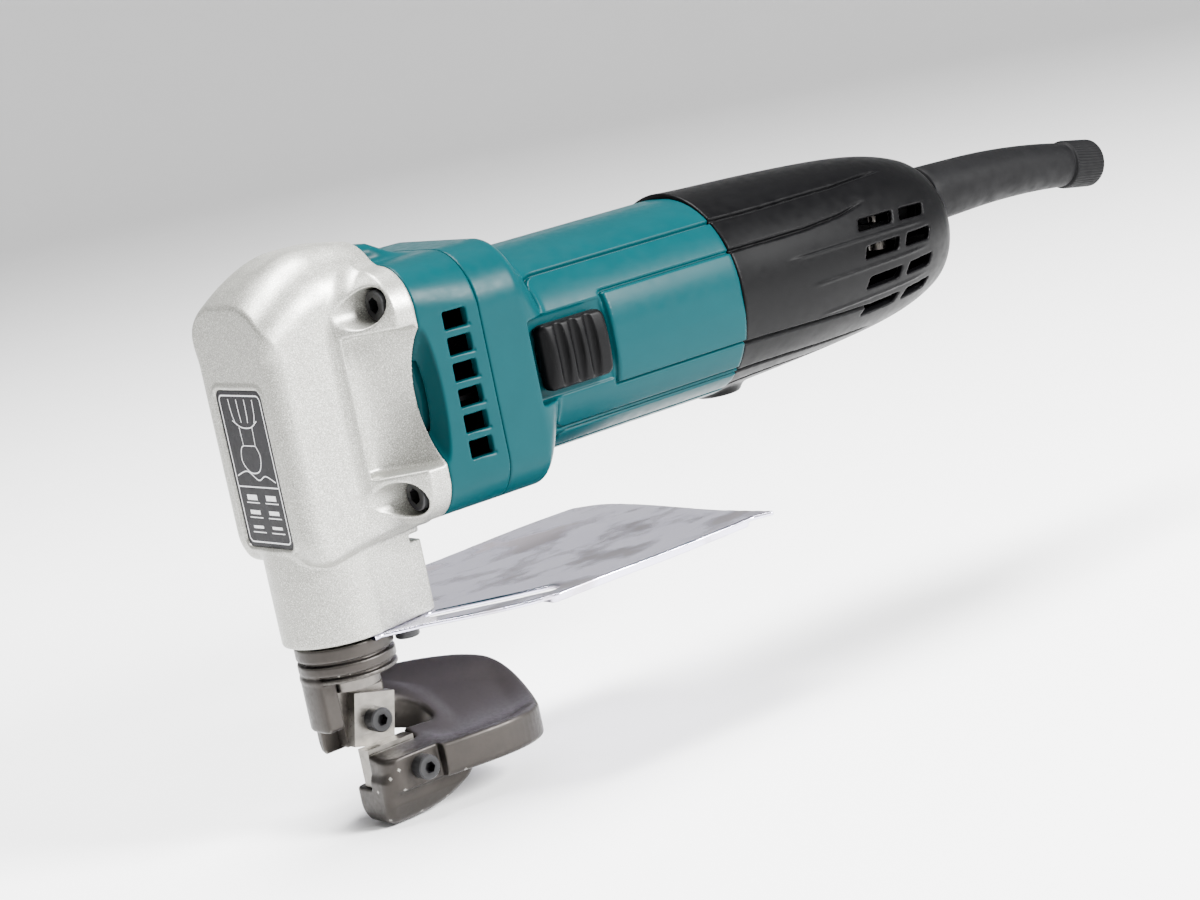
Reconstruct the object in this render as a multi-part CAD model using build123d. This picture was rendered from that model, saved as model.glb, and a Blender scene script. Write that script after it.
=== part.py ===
from build123d import *
from math import acos, cos, pi, radians, sin, sqrt, tan
import os

# Electric straight metal shear (two short blades in a C-shaped yoke), in millimetres.
# +Z runs up the slider, +X runs back along the motor, -Y is the side of the slide switch.
# The origin is on the flat foot under the lower blade, straight below the slider's axis.

# Heights of the head and the yoke
COLLAR_Z = 46.5  # underside of the second ring of the yoke's collar
NECK_Z = COLLAR_Z + 9.0  # underside of the neck
HEAD_Z = COLLAR_Z + 31.0  # underside of the gear head
HEAD_TOP_Z = COLLAR_Z + 115.3
MOTOR_Z = 117.0  # motor axis

# Stations along the tool
FRONT_X = -15.5
JOINT_X = 24.5  # gear housing to its cover
RING_X = 44.0  # cover to motor housing
FLANGE_X = 56.0
BARREL_X = 70.0
SEAM_X = 138.5  # motor housing to rear cover
REAR_X = 242.0

# Sections
HEAD_HALF = 20.3
HEAD_TOP_CORNER = 19.5  # the head's crown is nearly a half circle
JOINT_HALF = 32.8
JOINT_HIGH_CORNER = 14.0
FLANGE_HALF = 34.3
FLANGE_DROP, FLANGE_RISE = 34.5, 36.3  # the flange's reach below and above the motor axis
FLANGE_LOW_CORNER, FLANGE_HIGH_CORNER = 13.0, 17.0
WAIST_R, WAIST_Y = 25.5, 50.2  # hollow between the screw ears, about an axis along X
PANEL_R, PANEL_X, PANEL_Y = 14.0, 13.5, 32.4  # the same hollow, about an upright axis
BARREL_HALF = 30.3
BARREL_CORNER = 28.0
BARREL_BORE = 26.6
NECK_R = 16.5
STEM_R = 12.5
COLLAR_R = 13.84
SLIDER_R = 8.0
FIT = 0.05  # radial clearance of running fits

# Gear train: a 10-tooth pinion on the armature drives a 42-tooth gear above it
MODULE = 0.7
PINION_TEETH = 10
GEAR_TEETH = 42
CRANK_Z = MOTOR_Z + MODULE * (PINION_TEETH + GEAR_TEETH) / 2
THROW = 2.0  # eccentricity of the crank pin, half the blade's stroke
PIN_R = 3.5
ROLLER_R = 6.0

# Blades: the shear plane is y = 0
UPPER_BLADE = (13.2, 4.0, 15.0)
UPPER_BLADE_CENTRE = (4.5, 2.0, COLLAR_Z - 17.7)
UPPER_BLADE_TILT = 13.5
LOWER_BLADE = (15.5, 5.0, 11.0)
LOWER_BLADE_CENTRE = (4.75, -2.55, COLLAR_Z - 29.7)
LOWER_BOLT_X, LOWER_BOLT_Z = 7.5, COLLAR_Z - 31.0
LIMB_FACE_Y = -14.5

# Housing screws, two above and two below the motor axis
SCREW_Y = 26.0
SCREW_RISE, SCREW_DROP = 27.0, 26.0
SCREW_SEAT_X = 21.5
POCKET_R = 4.9
CLAMP_SEAT_X = 20.5
CLAMP_BOLT_Z = (NECK_Z + 8.0, NECK_Z + 16.0)

# Slide switch
KNOB_X0, KNOB_X1 = 63.4, 86.4
KNOB_HALF = 9.4
SWITCH_TRAVEL = 4.0
ROD_Y0, ROD_Y1 = -25.9, -24.5

BRUSH_X = 118.0
GUARD_Z = MOTOR_Z + 8.0

HEAD_FACING_FRONT = Rot(0, -90, 0)
HEAD_FACING_SIDE = Rot(90, 0, 0)
HEAD_FACING_DOWN = Rot(180, 0, 0)


# ---------------------------------------------------------------- helpers
def block(x0, x1, y0, y1, z0, z1):
    centre = Pos((x0 + x1) / 2, (y0 + y1) / 2, (z0 + z1) / 2)
    return centre * Box(x1 - x0, y1 - y0, z1 - z0)


def bar_x(x0, x1, radius, y=0.0, z=MOTOR_Z):
    return extrude(Plane.YZ.offset(x0) * (Pos(y, z) * Circle(radius)), amount=x1 - x0)


def bar_y(y0, y1, radius, x, z):
    return Pos(x, (y0 + y1) / 2, z) * Rot(90, 0, 0) * Cylinder(radius, y1 - y0)


def bar_z(z0, z1, radius, x=0.0, y=0.0):
    return Pos(x, y, (z0 + z1) / 2) * Cylinder(radius, z1 - z0)


def ring_x(x0, x1, outer, inner, y=0.0, z=MOTOR_Z):
    return bar_x(x0, x1, outer, y, z) - bar_x(x0 - 1, x1 + 1, inner, y, z)


def section(half, low, high, low_corner, high_corner):
    """Rectangle in (y, z) with its own corner radius at the bottom and at the top."""
    outline = Pos(0, (low + high) / 2) * Rectangle(2 * half, high - low)
    outline = fillet(outline.vertices().sort_by(Axis.Y)[2:], high_corner)
    return fillet(outline.vertices().sort_by(Axis.Y)[:2], low_corner)


def flange_section(inset=0.0):
    low, high = MOTOR_Z - FLANGE_DROP + inset, MOTOR_Z + FLANGE_RISE - inset
    return section(FLANGE_HALF - inset, low, high, FLANGE_LOW_CORNER, FLANGE_HIGH_CORNER)


def joint_section():
    low, high = MOTOR_Z - FLANGE_DROP, MOTOR_Z + FLANGE_RISE
    return section(JOINT_HALF, low, high, FLANGE_LOW_CORNER, JOINT_HIGH_CORNER)


def barrel_section():
    low, high = MOTOR_Z - BARREL_HALF, MOTOR_Z + BARREL_HALF
    return section(BARREL_HALF, low, high, BARREL_CORNER, BARREL_CORNER)


def prism_x(outline, x0, x1):
    return extrude(Plane.YZ.offset(x0) * outline, amount=x1 - x0)


def prism_y(points, y0, y1):
    """A side-view (x, z) outline extruded from y0 to y1."""
    face = Plane.XZ.offset(-y1) * make_face(Polyline(*points, close=True))
    return extrude(face, amount=y1 - y0)


def prism_z(outline, z0, z1):
    return extrude(Pos(0, 0, z0) * outline, amount=z1 - z0)


def sector_x(x0, x1, inner, outer, start, end):
    """Part of a ring about the motor axis, between two angles measured from +Y."""
    a0, a1 = radians(start), radians(end)
    edges = [
        CenterArc((0, 0), outer, start, end - start),
        Line((outer * cos(a1), outer * sin(a1)), (inner * cos(a1), inner * sin(a1))),
        CenterArc((0, 0), inner, start, end - start),
        Line((inner * cos(a0), inner * sin(a0)), (outer * cos(a0), outer * sin(a0))),
    ]
    return prism_x(Pos(0, MOTOR_Z) * make_face(Wire(edges)), x0, x1)


def about_motor(shape, angle):
    return Pos(0, 0, MOTOR_Z) * Rot(angle, 0, 0) * Pos(0, 0, -MOTOR_Z) * shape


def socket_screw(size, length):
    """Socket-head screw: head above z = 0 with a hexagon socket, shank below."""
    head_r, head_h, key = {4: (3.5, 4.0, 3.0), 5: (4.25, 5.0, 4.0)}[size]
    head = bar_z(0, head_h, head_r)
    head = chamfer(head.edges().group_by(Axis.Z)[-1], 0.35)
    socket = prism_z(RegularPolygon(key / sqrt(3), 6), head_h * 0.45, head_h + 1)
    return head + bar_z(-length, 0, size / 2) - socket


def gear(x0, x1, teeth, centre_z, turn, bore):
    """Spur gear on an X axis with involute flanks, thinned a little for backlash."""
    pitch_r = MODULE * teeth / 2
    base_r = pitch_r * cos(radians(20))
    tip_r, root_r = pitch_r + 0.85 * MODULE, pitch_r - 1.2 * MODULE

    def involute_angle(radius):
        if radius <= base_r:
            return 0.0
        slope = acos(base_r / radius)
        return tan(slope) - slope

    half_tooth = pi / 2 / teeth - 0.09 / pitch_r + involute_angle(pitch_r)
    flank = [root_r, max(base_r, root_r + 0.05), pitch_r, (pitch_r + tip_r) / 2, tip_r]
    points = []
    for tooth in range(teeth):
        middle = turn + 2 * pi * tooth / teeth
        rising = [(r, middle - half_tooth + involute_angle(r)) for r in flank]
        falling = [(r, middle + half_tooth - involute_angle(r)) for r in reversed(flank)]
        points += [(r * cos(a), r * sin(a)) for r, a in rising + falling]
    outline = make_face(Polyline(*points, close=True))
    if bore:
        outline -= Circle(bore)
    return prism_x(Pos(0, centre_z) * outline, x0, x1)


def solids_of(shapes):
    """The separate solids of several shapes, as one group node."""
    return Compound([solid for shape in shapes for solid in shape.solids()])


def screw_places():
    for side in (-1, 1):
        yield side * SCREW_Y, MOTOR_Z + SCREW_RISE
        yield side * SCREW_Y, MOTOR_Z - SCREW_DROP


# ---------------------------------------------------------------- housings
EAR_X, EAR_END_X = 5.0, 18.0  # the screw ears widen between these
CHAMBER_X, CHAMBER_HALF = -7.0, 16.3


def gear_housing():
    low, high = HEAD_Z, HEAD_TOP_Z
    # The roof falls to the front face and a little to the joint
    roof = ((FRONT_X, 8.8), (-6.4, 3.3), (-1, 1.0), (7.4, 0), (14, 0), (JOINT_X, 1.9))
    head = loft([
        Plane.YZ.offset(x) * section(HEAD_HALF, low, high - fall, 9.0, HEAD_TOP_CORNER)
        for x, fall in roof
    ], ruled=True)
    underside = [(FRONT_X, low + 7), (FRONT_X, high + 1), (JOINT_X, high + 1),
                 (JOINT_X, low + 3), (-9, low)]
    plan = Pos((FRONT_X + JOINT_X) / 2, 0) * Rectangle(JOINT_X - FRONT_X, 2 * HEAD_HALF)
    plan = fillet(plan.vertices().sort_by(Axis.X)[:2], 8.0)
    head = head & prism_y(underside, -30, 30) & prism_z(plan, low - 1, high + 1)

    shoulder = section(HEAD_HALF + 1.0, MOTOR_Z - 30, MOTOR_Z + 32, 8.0, 14.0)
    taper = loft([Plane.YZ.offset(EAR_X) * shoulder, Plane.YZ.offset(EAR_END_X) * joint_section()],
                 ruled=True)
    flange = taper + prism_x(joint_section(), EAR_END_X, JOINT_X)

    # The neck is round in front and runs back to a flat clamping face.
    tail = Polygon((4, -16), (JOINT_X, -11.7), (JOINT_X, 11.7), (4, 16), align=None)
    neck = prism_z(Circle(NECK_R) + tail, NECK_Z, HEAD_Z + 4)
    body = head + flange + neck

    # Concave waists between the screw ears
    for side in (-1, 1):
        body -= bar_x(6.5, JOINT_X + 1, WAIST_R, side * WAIST_Y)
        body -= bar_z(MOTOR_Z - 20, MOTOR_Z + 19, PANEL_R, PANEL_X, side * PANEL_Y)

    # Crank chamber, open to the rear, with a web for the front crank bearing
    chamber = block(CHAMBER_X, JOINT_X + 1, -CHAMBER_HALF, CHAMBER_HALF,
                    COLLAR_Z + 42, CRANK_Z + 18.3)
    chamber = fillet(chamber.edges().filter_by(Axis.X).group_by(Axis.Z)[-1], 8.0)
    web = block(8.8, 17.6, -17, 17, MOTOR_Z + 2, HEAD_TOP_Z)
    body -= chamber - web
    body -= bar_x(8.0, 10.0, 12.0, z=CRANK_Z)
    body -= bar_x(9.6, 18.0, 14.0, z=CRANK_Z)
    body -= bar_z(NECK_Z - 1, COLLAR_Z + 43, STEM_R)
    body -= bar_z(COLLAR_Z + 42, CRANK_Z - 10, SLIDER_R + 1)

    # Screw pockets open to the front, with their seats and clearance holes
    for y, z in screw_places():
        body -= bar_x(-5, SCREW_SEAT_X, POCKET_R, y, z)
        body -= bar_x(10, JOINT_X + 1, 2.6, y, z)
    # Recess for the label plate, gap behind the neck, and the clamp screws' holes
    body -= label_recess()
    body -= block(21.5, 30, -13, 13, HEAD_Z - 1.6, HEAD_Z + 0.2)
    for z in CLAMP_BOLT_Z:
        body -= bar_x(11.0, 30, 2.0, z=z)
        body -= bar_x(CLAMP_SEAT_X, 30, 3.7, z=z)
    for y in (-GUIDE_SCREW_Y, GUIDE_SCREW_Y):
        body -= bar_z(NECK_Z - 1, NECK_Z + 4.5, 2.0, GUIDE_SCREW_X, y)
    return body


def label_shape(inset):
    outline = RectangleRounded(24.0 - 2 * inset, 44.0 - 2 * inset, 2.2)
    return Plane.YZ.offset(FRONT_X) * (Pos(0, COLLAR_Z + 60) * outline)


def label_recess():
    return extrude(label_shape(-0.25), amount=0.7)


def label_plate():
    face = Pos(0.25, 0, 0) * label_shape(0.05)
    return extrude(face, amount=0.45)


def gear_housing_cover():
    outer = loft([Plane.YZ.offset(JOINT_X) * joint_section(),
                  Plane.YZ.offset(RING_X) * flange_section()], ruled=True)
    hump = [(JOINT_X, HEAD_TOP_Z - 12), (JOINT_X, HEAD_TOP_Z - 2.2),
            (JOINT_X + 4, HEAD_TOP_Z - 3.0), (JOINT_X + 16, HEAD_TOP_Z - 9.5)]
    body = outer + prism_y(hump, -12, 12)
    body -= prism_x(flange_section(3.0), 31.5, RING_X + 1)
    # Scoops that carry the waists of the gear housing on
    for side in (-1, 1):
        scoop = Rot(0, 90, 0) * Cone(WAIST_R, 12.0, 4.2)
        body -= Pos(JOINT_X + 2.1, side * WAIST_Y, MOTOR_Z) * scoop
    hub = ring_x(31.0, 33.2, 12.0, 9.5)
    body += hub
    # Bearing seats in the front web
    body -= bar_x(JOINT_X - 1, 32.2, 9.5)
    body -= bar_x(32.0, 34, 8.2)
    body -= bar_x(JOINT_X - 1, 31.2, 7.5, z=CRANK_Z)
    body -= bar_x(JOINT_X - 1, 25.7, 16.0, z=CRANK_Z)
    # Six exhaust vents and one slit on each side
    for side in (-1, 1):
        for row in range(6):
            z = MOTOR_Z + 18.6 - 7.2 * row
            body -= block(32.4, 39.8, side * 34 - 4, side * 34 + 4, z - 2.5, z + 2.5)
        body -= block(JOINT_X - 1, 32.5, side * 26.0 - 0.8, side * 26.0 + 0.8,
                      MOTOR_Z - 10.5, MOTOR_Z + 9.7)
    for y, z in screw_places():
        body += bar_x(31.0, RING_X, 5.0, y, z) & outer
        body -= bar_x(JOINT_X - 1, RING_X + 1, 2.6, y, z)
    return body


def motor_housing():
    flange = prism_x(flange_section(), RING_X, FLANGE_X)
    steps = 5
    sections = []
    for step in range(steps + 1):
        share = step / steps
        blend = share * share * (3 - 2 * share)
        half = FLANGE_HALF + (BARREL_HALF - FLANGE_HALF) * blend
        low = FLANGE_DROP + (BARREL_HALF - FLANGE_DROP) * blend
        high = FLANGE_RISE + (BARREL_HALF - FLANGE_RISE) * blend
        low_corner = FLANGE_LOW_CORNER + (BARREL_CORNER - FLANGE_LOW_CORNER) * blend
        high_corner = FLANGE_HIGH_CORNER + (BARREL_CORNER - FLANGE_HIGH_CORNER) * blend
        outline = section(half, MOTOR_Z - low, MOTOR_Z + high, low_corner, high_corner)
        x = FLANGE_X + (BARREL_X - FLANGE_X) * share
        sections.append(Plane.YZ.offset(x) * outline)
    shoulder = loft(sections)
    barrel = prism_x(barrel_section(), BARREL_X, SEAM_X)
    body = flange + shoulder + barrel

    body -= prism_x(flange_section(3.0), RING_X - 1, RING_X + 4)
    body -= bar_x(RING_X + 2, 57, 30.5)
    body -= bar_x(50, 128.5, BARREL_BORE)
    body -= bar_x(136.5, SEAM_X + 1, BARREL_BORE)
    # Rear web: bearing seat, air slots and the passage of the switch rod
    body -= bar_x(128, 137, 9.5)
    for angle in (35, 80, 125, 215, 260, 305):
        body -= about_motor(block(128, 137, -3.5, 3.5, MOTOR_Z + 14, MOTOR_Z + 23), angle)
    body -= block(128, 137, ROD_Y0 - 0.4, ROD_Y1 + 0.6, MOTOR_Z - 5, MOTOR_Z + 5)
    # Tongue for the rear cover's screw
    tongue = block(SEAM_X - 3, 154, -5, 5, MOTOR_Z - 25.5, MOTOR_Z - 20)
    body += tongue
    body -= bar_z(MOTOR_Z - 40, MOTOR_Z - 19, 2.0, 147)
    # Switch recess in the left side and the slot for the knob's stem
    recess_x = KNOB_X0 - SWITCH_TRAVEL - 0.5
    body -= block(recess_x, 88.0, -40, -27.9, MOTOR_Z - 12, MOTOR_Z + 12)
    body -= block(64.0, 80.5, -30, -20, MOTOR_Z - 3.5, MOTOR_Z + 3.5)
    # Blind threads for the housing screws
    for y, z in screw_places():
        body += bar_x(RING_X, 55.0, 5.0, y, z) & flange
        body -= bar_x(RING_X - 1, 53.5, 2.5, y, z)
    return body


def cover_profile(inset):
    """Outer or inner (x, radius) line of the rear cover, a blunt bullet."""
    stations = [(SEAM_X, 31.3), (158, 30.3), (178, 29.4), (198, 28.2), (214, 26.6),
                (227, 23.9), (236, 19.8), (REAR_X - 0.8, 14.0)]
    return [(x, radius - inset) for x, radius in stations]


def cover_solid(inset, x_end):
    line = cover_profile(inset)
    curve = Spline(*line, tangents=[(1, -0.05), (0.45, -1)])
    last = line[-1]
    close_up = Polyline(last, (x_end, last[1] - 2.5), (x_end, 0), (SEAM_X, 0), line[0])
    face = Plane.XZ * make_face(Wire([curve] + list(close_up.edges())))
    return Pos(0, 0, MOTOR_Z + 0.6) * revolve(face, Axis.X)


def rear_cover():
    body = cover_solid(0.0, REAR_X) - cover_solid(2.3, REAR_X - 2.5)
    # Two slots in each of four rows, both sides
    for side in (-1, 1):
        for elevation in (19.0, 0.5, -18.0, -37.0):
            for x0, x1 in ((191, 206), (209.5, 221)):
                slot = block(x0, x1, -40, -20, MOTOR_Z - 1.7, MOTOR_Z + 1.7)
                turned = about_motor(slot, -elevation)
                body -= turned if side < 0 else mirror(turned, about=Plane.XZ)
    # Seat of the cord guard, and the screw's boss under the front edge
    body += ring_x(230, REAR_X - 2, 11.5, 7.0, z=GUARD_Z) & cover_solid(0.5, REAR_X - 1)
    body -= bar_x(225, REAR_X + 2, 7.0, z=GUARD_Z)
    boss = bar_z(MOTOR_Z - 31.9, MOTOR_Z - 25.6, 6.5, 147)
    body += boss
    body -= bar_z(MOTOR_Z - 34, MOTOR_Z - 20, 2.2, 147)
    body -= bar_z(MOTOR_Z - 34, MOTOR_Z - 29.0, 3.7, 147)
    return body


# Route of the cord guard: it leaves the rear cover level and droops a little.
GUARD_START_X = 234.0
GUARD_BEND_X = 262.0
GUARD_BEND_R = 300.0
GUARD_BEND = 9.0  # degrees
GUARD_TAIL = 13.5
GUARD_BORE = 4.1
GUARD_ROOT_R, GUARD_TAPER = 9.5, 2.2
GUARD_COLLAR_R = 8.0


def guard_point(share):
    """Centre and direction on the guard's axis, share running 0 to 1."""
    arc = GUARD_BEND_R * radians(GUARD_BEND)
    level = GUARD_BEND_X - GUARD_START_X
    along = share * (level + arc + GUARD_TAIL)
    if along <= level:
        return (GUARD_START_X + along, GUARD_Z), 0.0
    angle = min((along - level) / GUARD_BEND_R, radians(GUARD_BEND))
    x = GUARD_BEND_X + GUARD_BEND_R * sin(angle)
    z = GUARD_Z - GUARD_BEND_R * (1 - cos(angle))
    rest = max(0.0, along - level - arc)
    return (x + rest * cos(angle), z - rest * sin(angle)), angle


def guard_disc(share, radius):
    (x, z), angle = guard_point(share)
    plane = Plane(origin=(x, 0, z), x_dir=(0, 1, 0), z_dir=(cos(angle), 0, -sin(angle)))
    return plane * Circle(radius)


def cord_guard():
    plug = bar_x(226, REAR_X - 3, 6.9, z=GUARD_Z)
    lip = bar_x(225, 229.5, 9.0, z=GUARD_Z)
    shares = (0.0, 0.2, 0.4, 0.6, 0.8, 0.93)
    sections = [guard_disc(share, GUARD_ROOT_R - GUARD_TAPER * share) for share in shares]
    tapered = loft(sections)
    neck_x = REAR_X + 0.2
    tapered -= bar_x(230, neck_x, 20, z=GUARD_Z) - bar_x(229, neck_x + 1, 6.9, z=GUARD_Z)
    collar = loft([guard_disc(0.88, GUARD_COLLAR_R), guard_disc(1.0, GUARD_COLLAR_R - 0.2)],
                  ruled=True)
    body = plug + lip + tapered + collar
    level = bar_x(220, GUARD_BEND_X, GUARD_BORE, z=GUARD_Z)
    (end_x, end_z), angle = guard_point(1.0)
    arc_end = (end_x - GUARD_TAIL * cos(angle), end_z + GUARD_TAIL * sin(angle))
    tail_centre = ((arc_end[0] + end_x) / 2, (arc_end[1] + end_z) / 2)
    tail = Pos(tail_centre[0] + cos(angle), 0, tail_centre[1] - sin(angle))
    tail = tail * Rot(0, 90 + GUARD_BEND, 0) * Cylinder(GUARD_BORE, GUARD_TAIL + 2)
    pivot = Axis((GUARD_BEND_X, 0, GUARD_Z - GUARD_BEND_R), (0, 1, 0))
    start = Plane.YZ.offset(GUARD_BEND_X) * (Pos(0, GUARD_Z) * Circle(GUARD_BORE))
    bend = revolve(start, pivot, revolution_arc=GUARD_BEND)
    return body - level - bend - tail


# ---------------------------------------------------------------- yoke and blades
def yoke_arm():
    """The arm that carries the lower blade round from the collar's far side."""
    z = COLLAR_Z
    top = Spline((-25, z - 25.6), (-10, z - 26.0), (0, z - 22.8), (9, z - 14.5), (23, z - 7.5))
    bottom = Spline((23, z - 18), (9, z - 24.6), (-1, z - 33.4), (-9, z - 36.0), (-25, z - 36.0))
    ends = [Line(top @ 1, bottom @ 0), Line(bottom @ 1, top @ 0)]
    profile = prism_x(make_face(Wire([top, ends[0], bottom, ends[1]])), -12, 60)

    outer = Spline(
        (-3.4, -9), (-2.9, -12), (-0.8, -14.3), (3, -15.6), (12, -17.4), (22, -19.8),
        (32, -21.2), (41, -20), (48.5, -15.6), (53, -8.5), (54, -0.5), (51, 6.5),
        (45, 12), (36, 16.2), (26, 18.2), (16, 18.8), (6, 18.6), (-6, 15.5),
    )
    inner = [Line((-6, 15.5), (-8, 8.6)), Line((-8, 8.6), (13.5, 8.6)),
             ThreePointArc((13.5, 8.6), (20.6, 4.6), (22.6, 1.2)),
             ThreePointArc((22.6, 1.2), (22.6, -0.6), (21, -1.0)),
             Line((21, -1.0), (12.6, -0.4)), Line((12.6, -0.4), (12.6, -5.05)),
             Line((12.6, -5.05), (-3.4, -5.05)), Line((-3.4, -5.05), (-3.4, -9))]
    plan = prism_z(make_face(Wire([outer] + inner)), -5, COLLAR_Z)
    return profile & plan


def yoke():
    z = COLLAR_Z
    body = bar_z(z - 2.1, NECK_Z - 1.0, COLLAR_R) + bar_z(NECK_Z - 2, z + 41, STEM_R)
    for groove_z in (z - 0.7, z + 3.1):
        body -= bar_z(groove_z, groove_z + 0.75, 20) - bar_z(groove_z, groove_z + 0.75, 12.2)
    # Web on the far side and the guide finger in front, both part of the collar's ring
    ring = bar_z(z - 22, z - 1, COLLAR_R) - bar_z(z - 23, z, SLIDER_R + 0.6)
    body += ring & block(-8, 16, 8.6, 20, z - 22, z - 1)
    body += block(2, 16, 8.6, 14.5, z - 20, z - 2.1) & bar_z(z - 22, z, 17.5)
    body += ring & block(-14, -7.6, -5, 9.5, z - 16, z - 1)
    body += yoke_arm()

    keel_side = [(-4.0, z - 33), (-4.0, z - 41.5), (-3.2, z - 44.8), (-1.5, 0), (6.0, 0),
                 (14, 0.9), (19, 2.8), (25, 6.6), (29, 11.0), (29, z - 33)]
    keel_front = make_face(Polyline((-13, z - 33), (-12, z - 40), (-8.5, 0), (2, 0),
                                    (3.6, z - 41), (3.8, z - 33), close=True))
    keel = prism_y(keel_side, -20, 10) & prism_x(keel_front, -10, 40)
    keel -= block(-10, 12.6, -5.05, 5, z - 35.25, z - 30)
    keel -= block(12, 40, -1.0, 10, z - 33.5, z - 30)
    body += keel

    body -= bar_z(z - 3, NECK_Z - 2, SLIDER_R + 0.6)
    body -= bar_z(NECK_Z - 2, z + 42, SLIDER_R + 1.5)
    # Side flat, bolt hole and thread-clamping flats for the clamp screws
    body -= block(-6, 13.6, -40, LIMB_FACE_Y, 1.0, z - 20)
    body -= bar_y(-30, -4, 2.0, LOWER_BOLT_X, LOWER_BOLT_Z)
    body -= block(STEM_R - 1.5, STEM_R + 1, -5, 5, NECK_Z + 1, z + 28)
    return body


def upper_blade():
    width, thick, height = UPPER_BLADE
    blade = Box(width, thick, height) - Rot(90, 0, 0) * Cylinder(2.0, thick + 1)
    return Pos(*UPPER_BLADE_CENTRE) * Rot(0, UPPER_BLADE_TILT, 0) * blade


def lower_blade():
    blade = Pos(*LOWER_BLADE_CENTRE) * Box(*LOWER_BLADE)
    return blade - bar_y(-10, 5, 2.0, LOWER_BOLT_X, LOWER_BOLT_Z)


def upper_blade_bolt():
    x, _, z = UPPER_BLADE_CENTRE
    return Pos(x, 0, z) * HEAD_FACING_SIDE * socket_screw(4, 7.8)


def lower_blade_bolt():
    place = Pos(LOWER_BOLT_X, LIMB_FACE_Y, LOWER_BOLT_Z)
    return place * HEAD_FACING_SIDE * socket_screw(4, -LIMB_FACE_Y - 0.4)


def slider():
    """Round ram with a windowed head for the roller and a flat seat for the blade."""
    z = COLLAR_Z
    head = block(-5.8, 5.8, -12.5, 12.5, CRANK_Z - 14.5, CRANK_Z + 14.5)
    head -= block(-7, 7, -8.6, 8.6, CRANK_Z - 10.4, CRANK_Z + 10.4)
    ram = bar_z(z - 24, CRANK_Z - 13, SLIDER_R)
    ram -= block(-10, 10, -10, UPPER_BLADE[1], z - 30, z - 6.0)
    ram -= block(-10, -3.5, -10, 10, z - 30, z - 15.5)
    seat = block(-3.5, 11.5, UPPER_BLADE[1], SLIDER_R, z - 24, z - 9.5)
    x, _, bolt_z = UPPER_BLADE_CENTRE
    return head + ram + seat - bar_y(3, 9, 2.0, x, bolt_z)


# ---------------------------------------------------------------- sheet guide
GUIDE_SCREW_X, GUIDE_SCREW_Y = 16.0, 8.0
PLATE_THICK = 1.5


def guide_plate():
    side = [(3, 16.0), (14, 22.0), (31, 34.5), (44, 40.2), (54, 41.2), (118, 41.2)]
    near = [(x, -y) for x, y in side] + [(124, -44)]
    far = list(reversed(side[:-1] + [(114, 41.2)]))
    rear = [(122.3, -30), (121.6, -18), (122.4, 2), (122.4, 22), (120, 34)]
    outline = make_face(Polyline(*near, *rear, *far, close=True)) + Circle(NECK_R)
    outline -= Circle(COLLAR_R + 0.2)
    for sign in (-1, 1):
        slot = Pos(35, sign * 24.2) * Rot(0, 0, sign * 33.5) * SlotOverall(38, 6)
        outline -= slot
        outline -= Pos(GUIDE_SCREW_X, sign * GUIDE_SCREW_Y) * Circle(2.0)
    hem = [(46, 33.5), (116, 33.5), (116, 41.0), (54, 41.0), (46, 40.0)]
    body = prism_z(outline, NECK_Z - PLATE_THICK, NECK_Z)
    for sign in (-1, 1):
        strip = make_face(Polyline(*[(x, sign * y) for x, y in hem], close=True))
        body += prism_z(strip, NECK_Z - 2.6, NECK_Z - 1.4)
    return body


def guide_plate_screw(y):
    return Pos(GUIDE_SCREW_X, y, NECK_Z - PLATE_THICK) * HEAD_FACING_DOWN * socket_screw(4, 6.0)


# ---------------------------------------------------------------- drive
def ball_bearing(x0, width, bore_r, outer_r, z):
    """Outer ring, inner ring and the balls between them."""
    gap = outer_r - bore_r
    inner = ring_x(x0, x0 + width, bore_r + 0.27 * gap, bore_r, z=z)
    outer = ring_x(x0, x0 + width, outer_r, outer_r - 0.25 * gap, z=z)
    pitch_r, ball_r = bore_r + 0.505 * gap, 0.19 * gap
    balls = []
    for number in range(7):
        turn = 2 * pi * number / 7
        place = Pos(x0 + width / 2, pitch_r * cos(turn), z + pitch_r * sin(turn))
        balls.append(place * Sphere(ball_r))
    return outer, inner, balls


def crank_shaft():
    body = bar_x(6.6, 8.6, 9.5, z=CRANK_Z) + bar_x(8.6, 17.6, 6.0, z=CRANK_Z)
    body += bar_x(17.6, 25.5, 5.0, z=CRANK_Z) + bar_x(25.5, 31.0, 3.0, z=CRANK_Z)
    body += bar_x(-6.0, 7.0, PIN_R, y=THROW, z=CRANK_Z)
    return body


def eccentric_roller():
    return ring_x(-4.6, 5.4, ROLLER_R, PIN_R + FIT, y=THROW, z=CRANK_Z)


def roller_clip():
    return ring_x(-5.6, -4.9, 5.2, PIN_R, y=THROW, z=CRANK_Z)


def armature_shaft():
    body = bar_x(25.4, 32.2, 3.5) + bar_x(32.2, 129.5, 4.0) + bar_x(129.5, 136.8, 3.0)
    pinion_turn = -pi / 2 + pi / PINION_TEETH + pi
    return body + gear(18.2, 25.5, PINION_TEETH, MOTOR_Z, pinion_turn, 0)


def armature_slots(width, inner, x0, x1):
    slots = []
    for number in range(12):
        slot = block(x0, x1, -width / 2, width / 2, MOTOR_Z + inner, MOTOR_Z + 17.4)
        slots.append(about_motor(slot, 30 * number))
    return slots


def armature_core():
    body = bar_x(63, 103, 17.8) - bar_x(60, 110, 4.0)
    for slot in armature_slots(2.2, 12.6, 60, 106):
        body -= slot
    return body


def armature_winding():
    body = ring_x(56.5, 63, 15.8, 6.0) + ring_x(103, 109.5, 15.8, 6.0)
    for leg in armature_slots(2.0, 12.8, 60, 106):
        body += leg & ring_x(60, 106, 15.8, 10)
    return body


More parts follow.
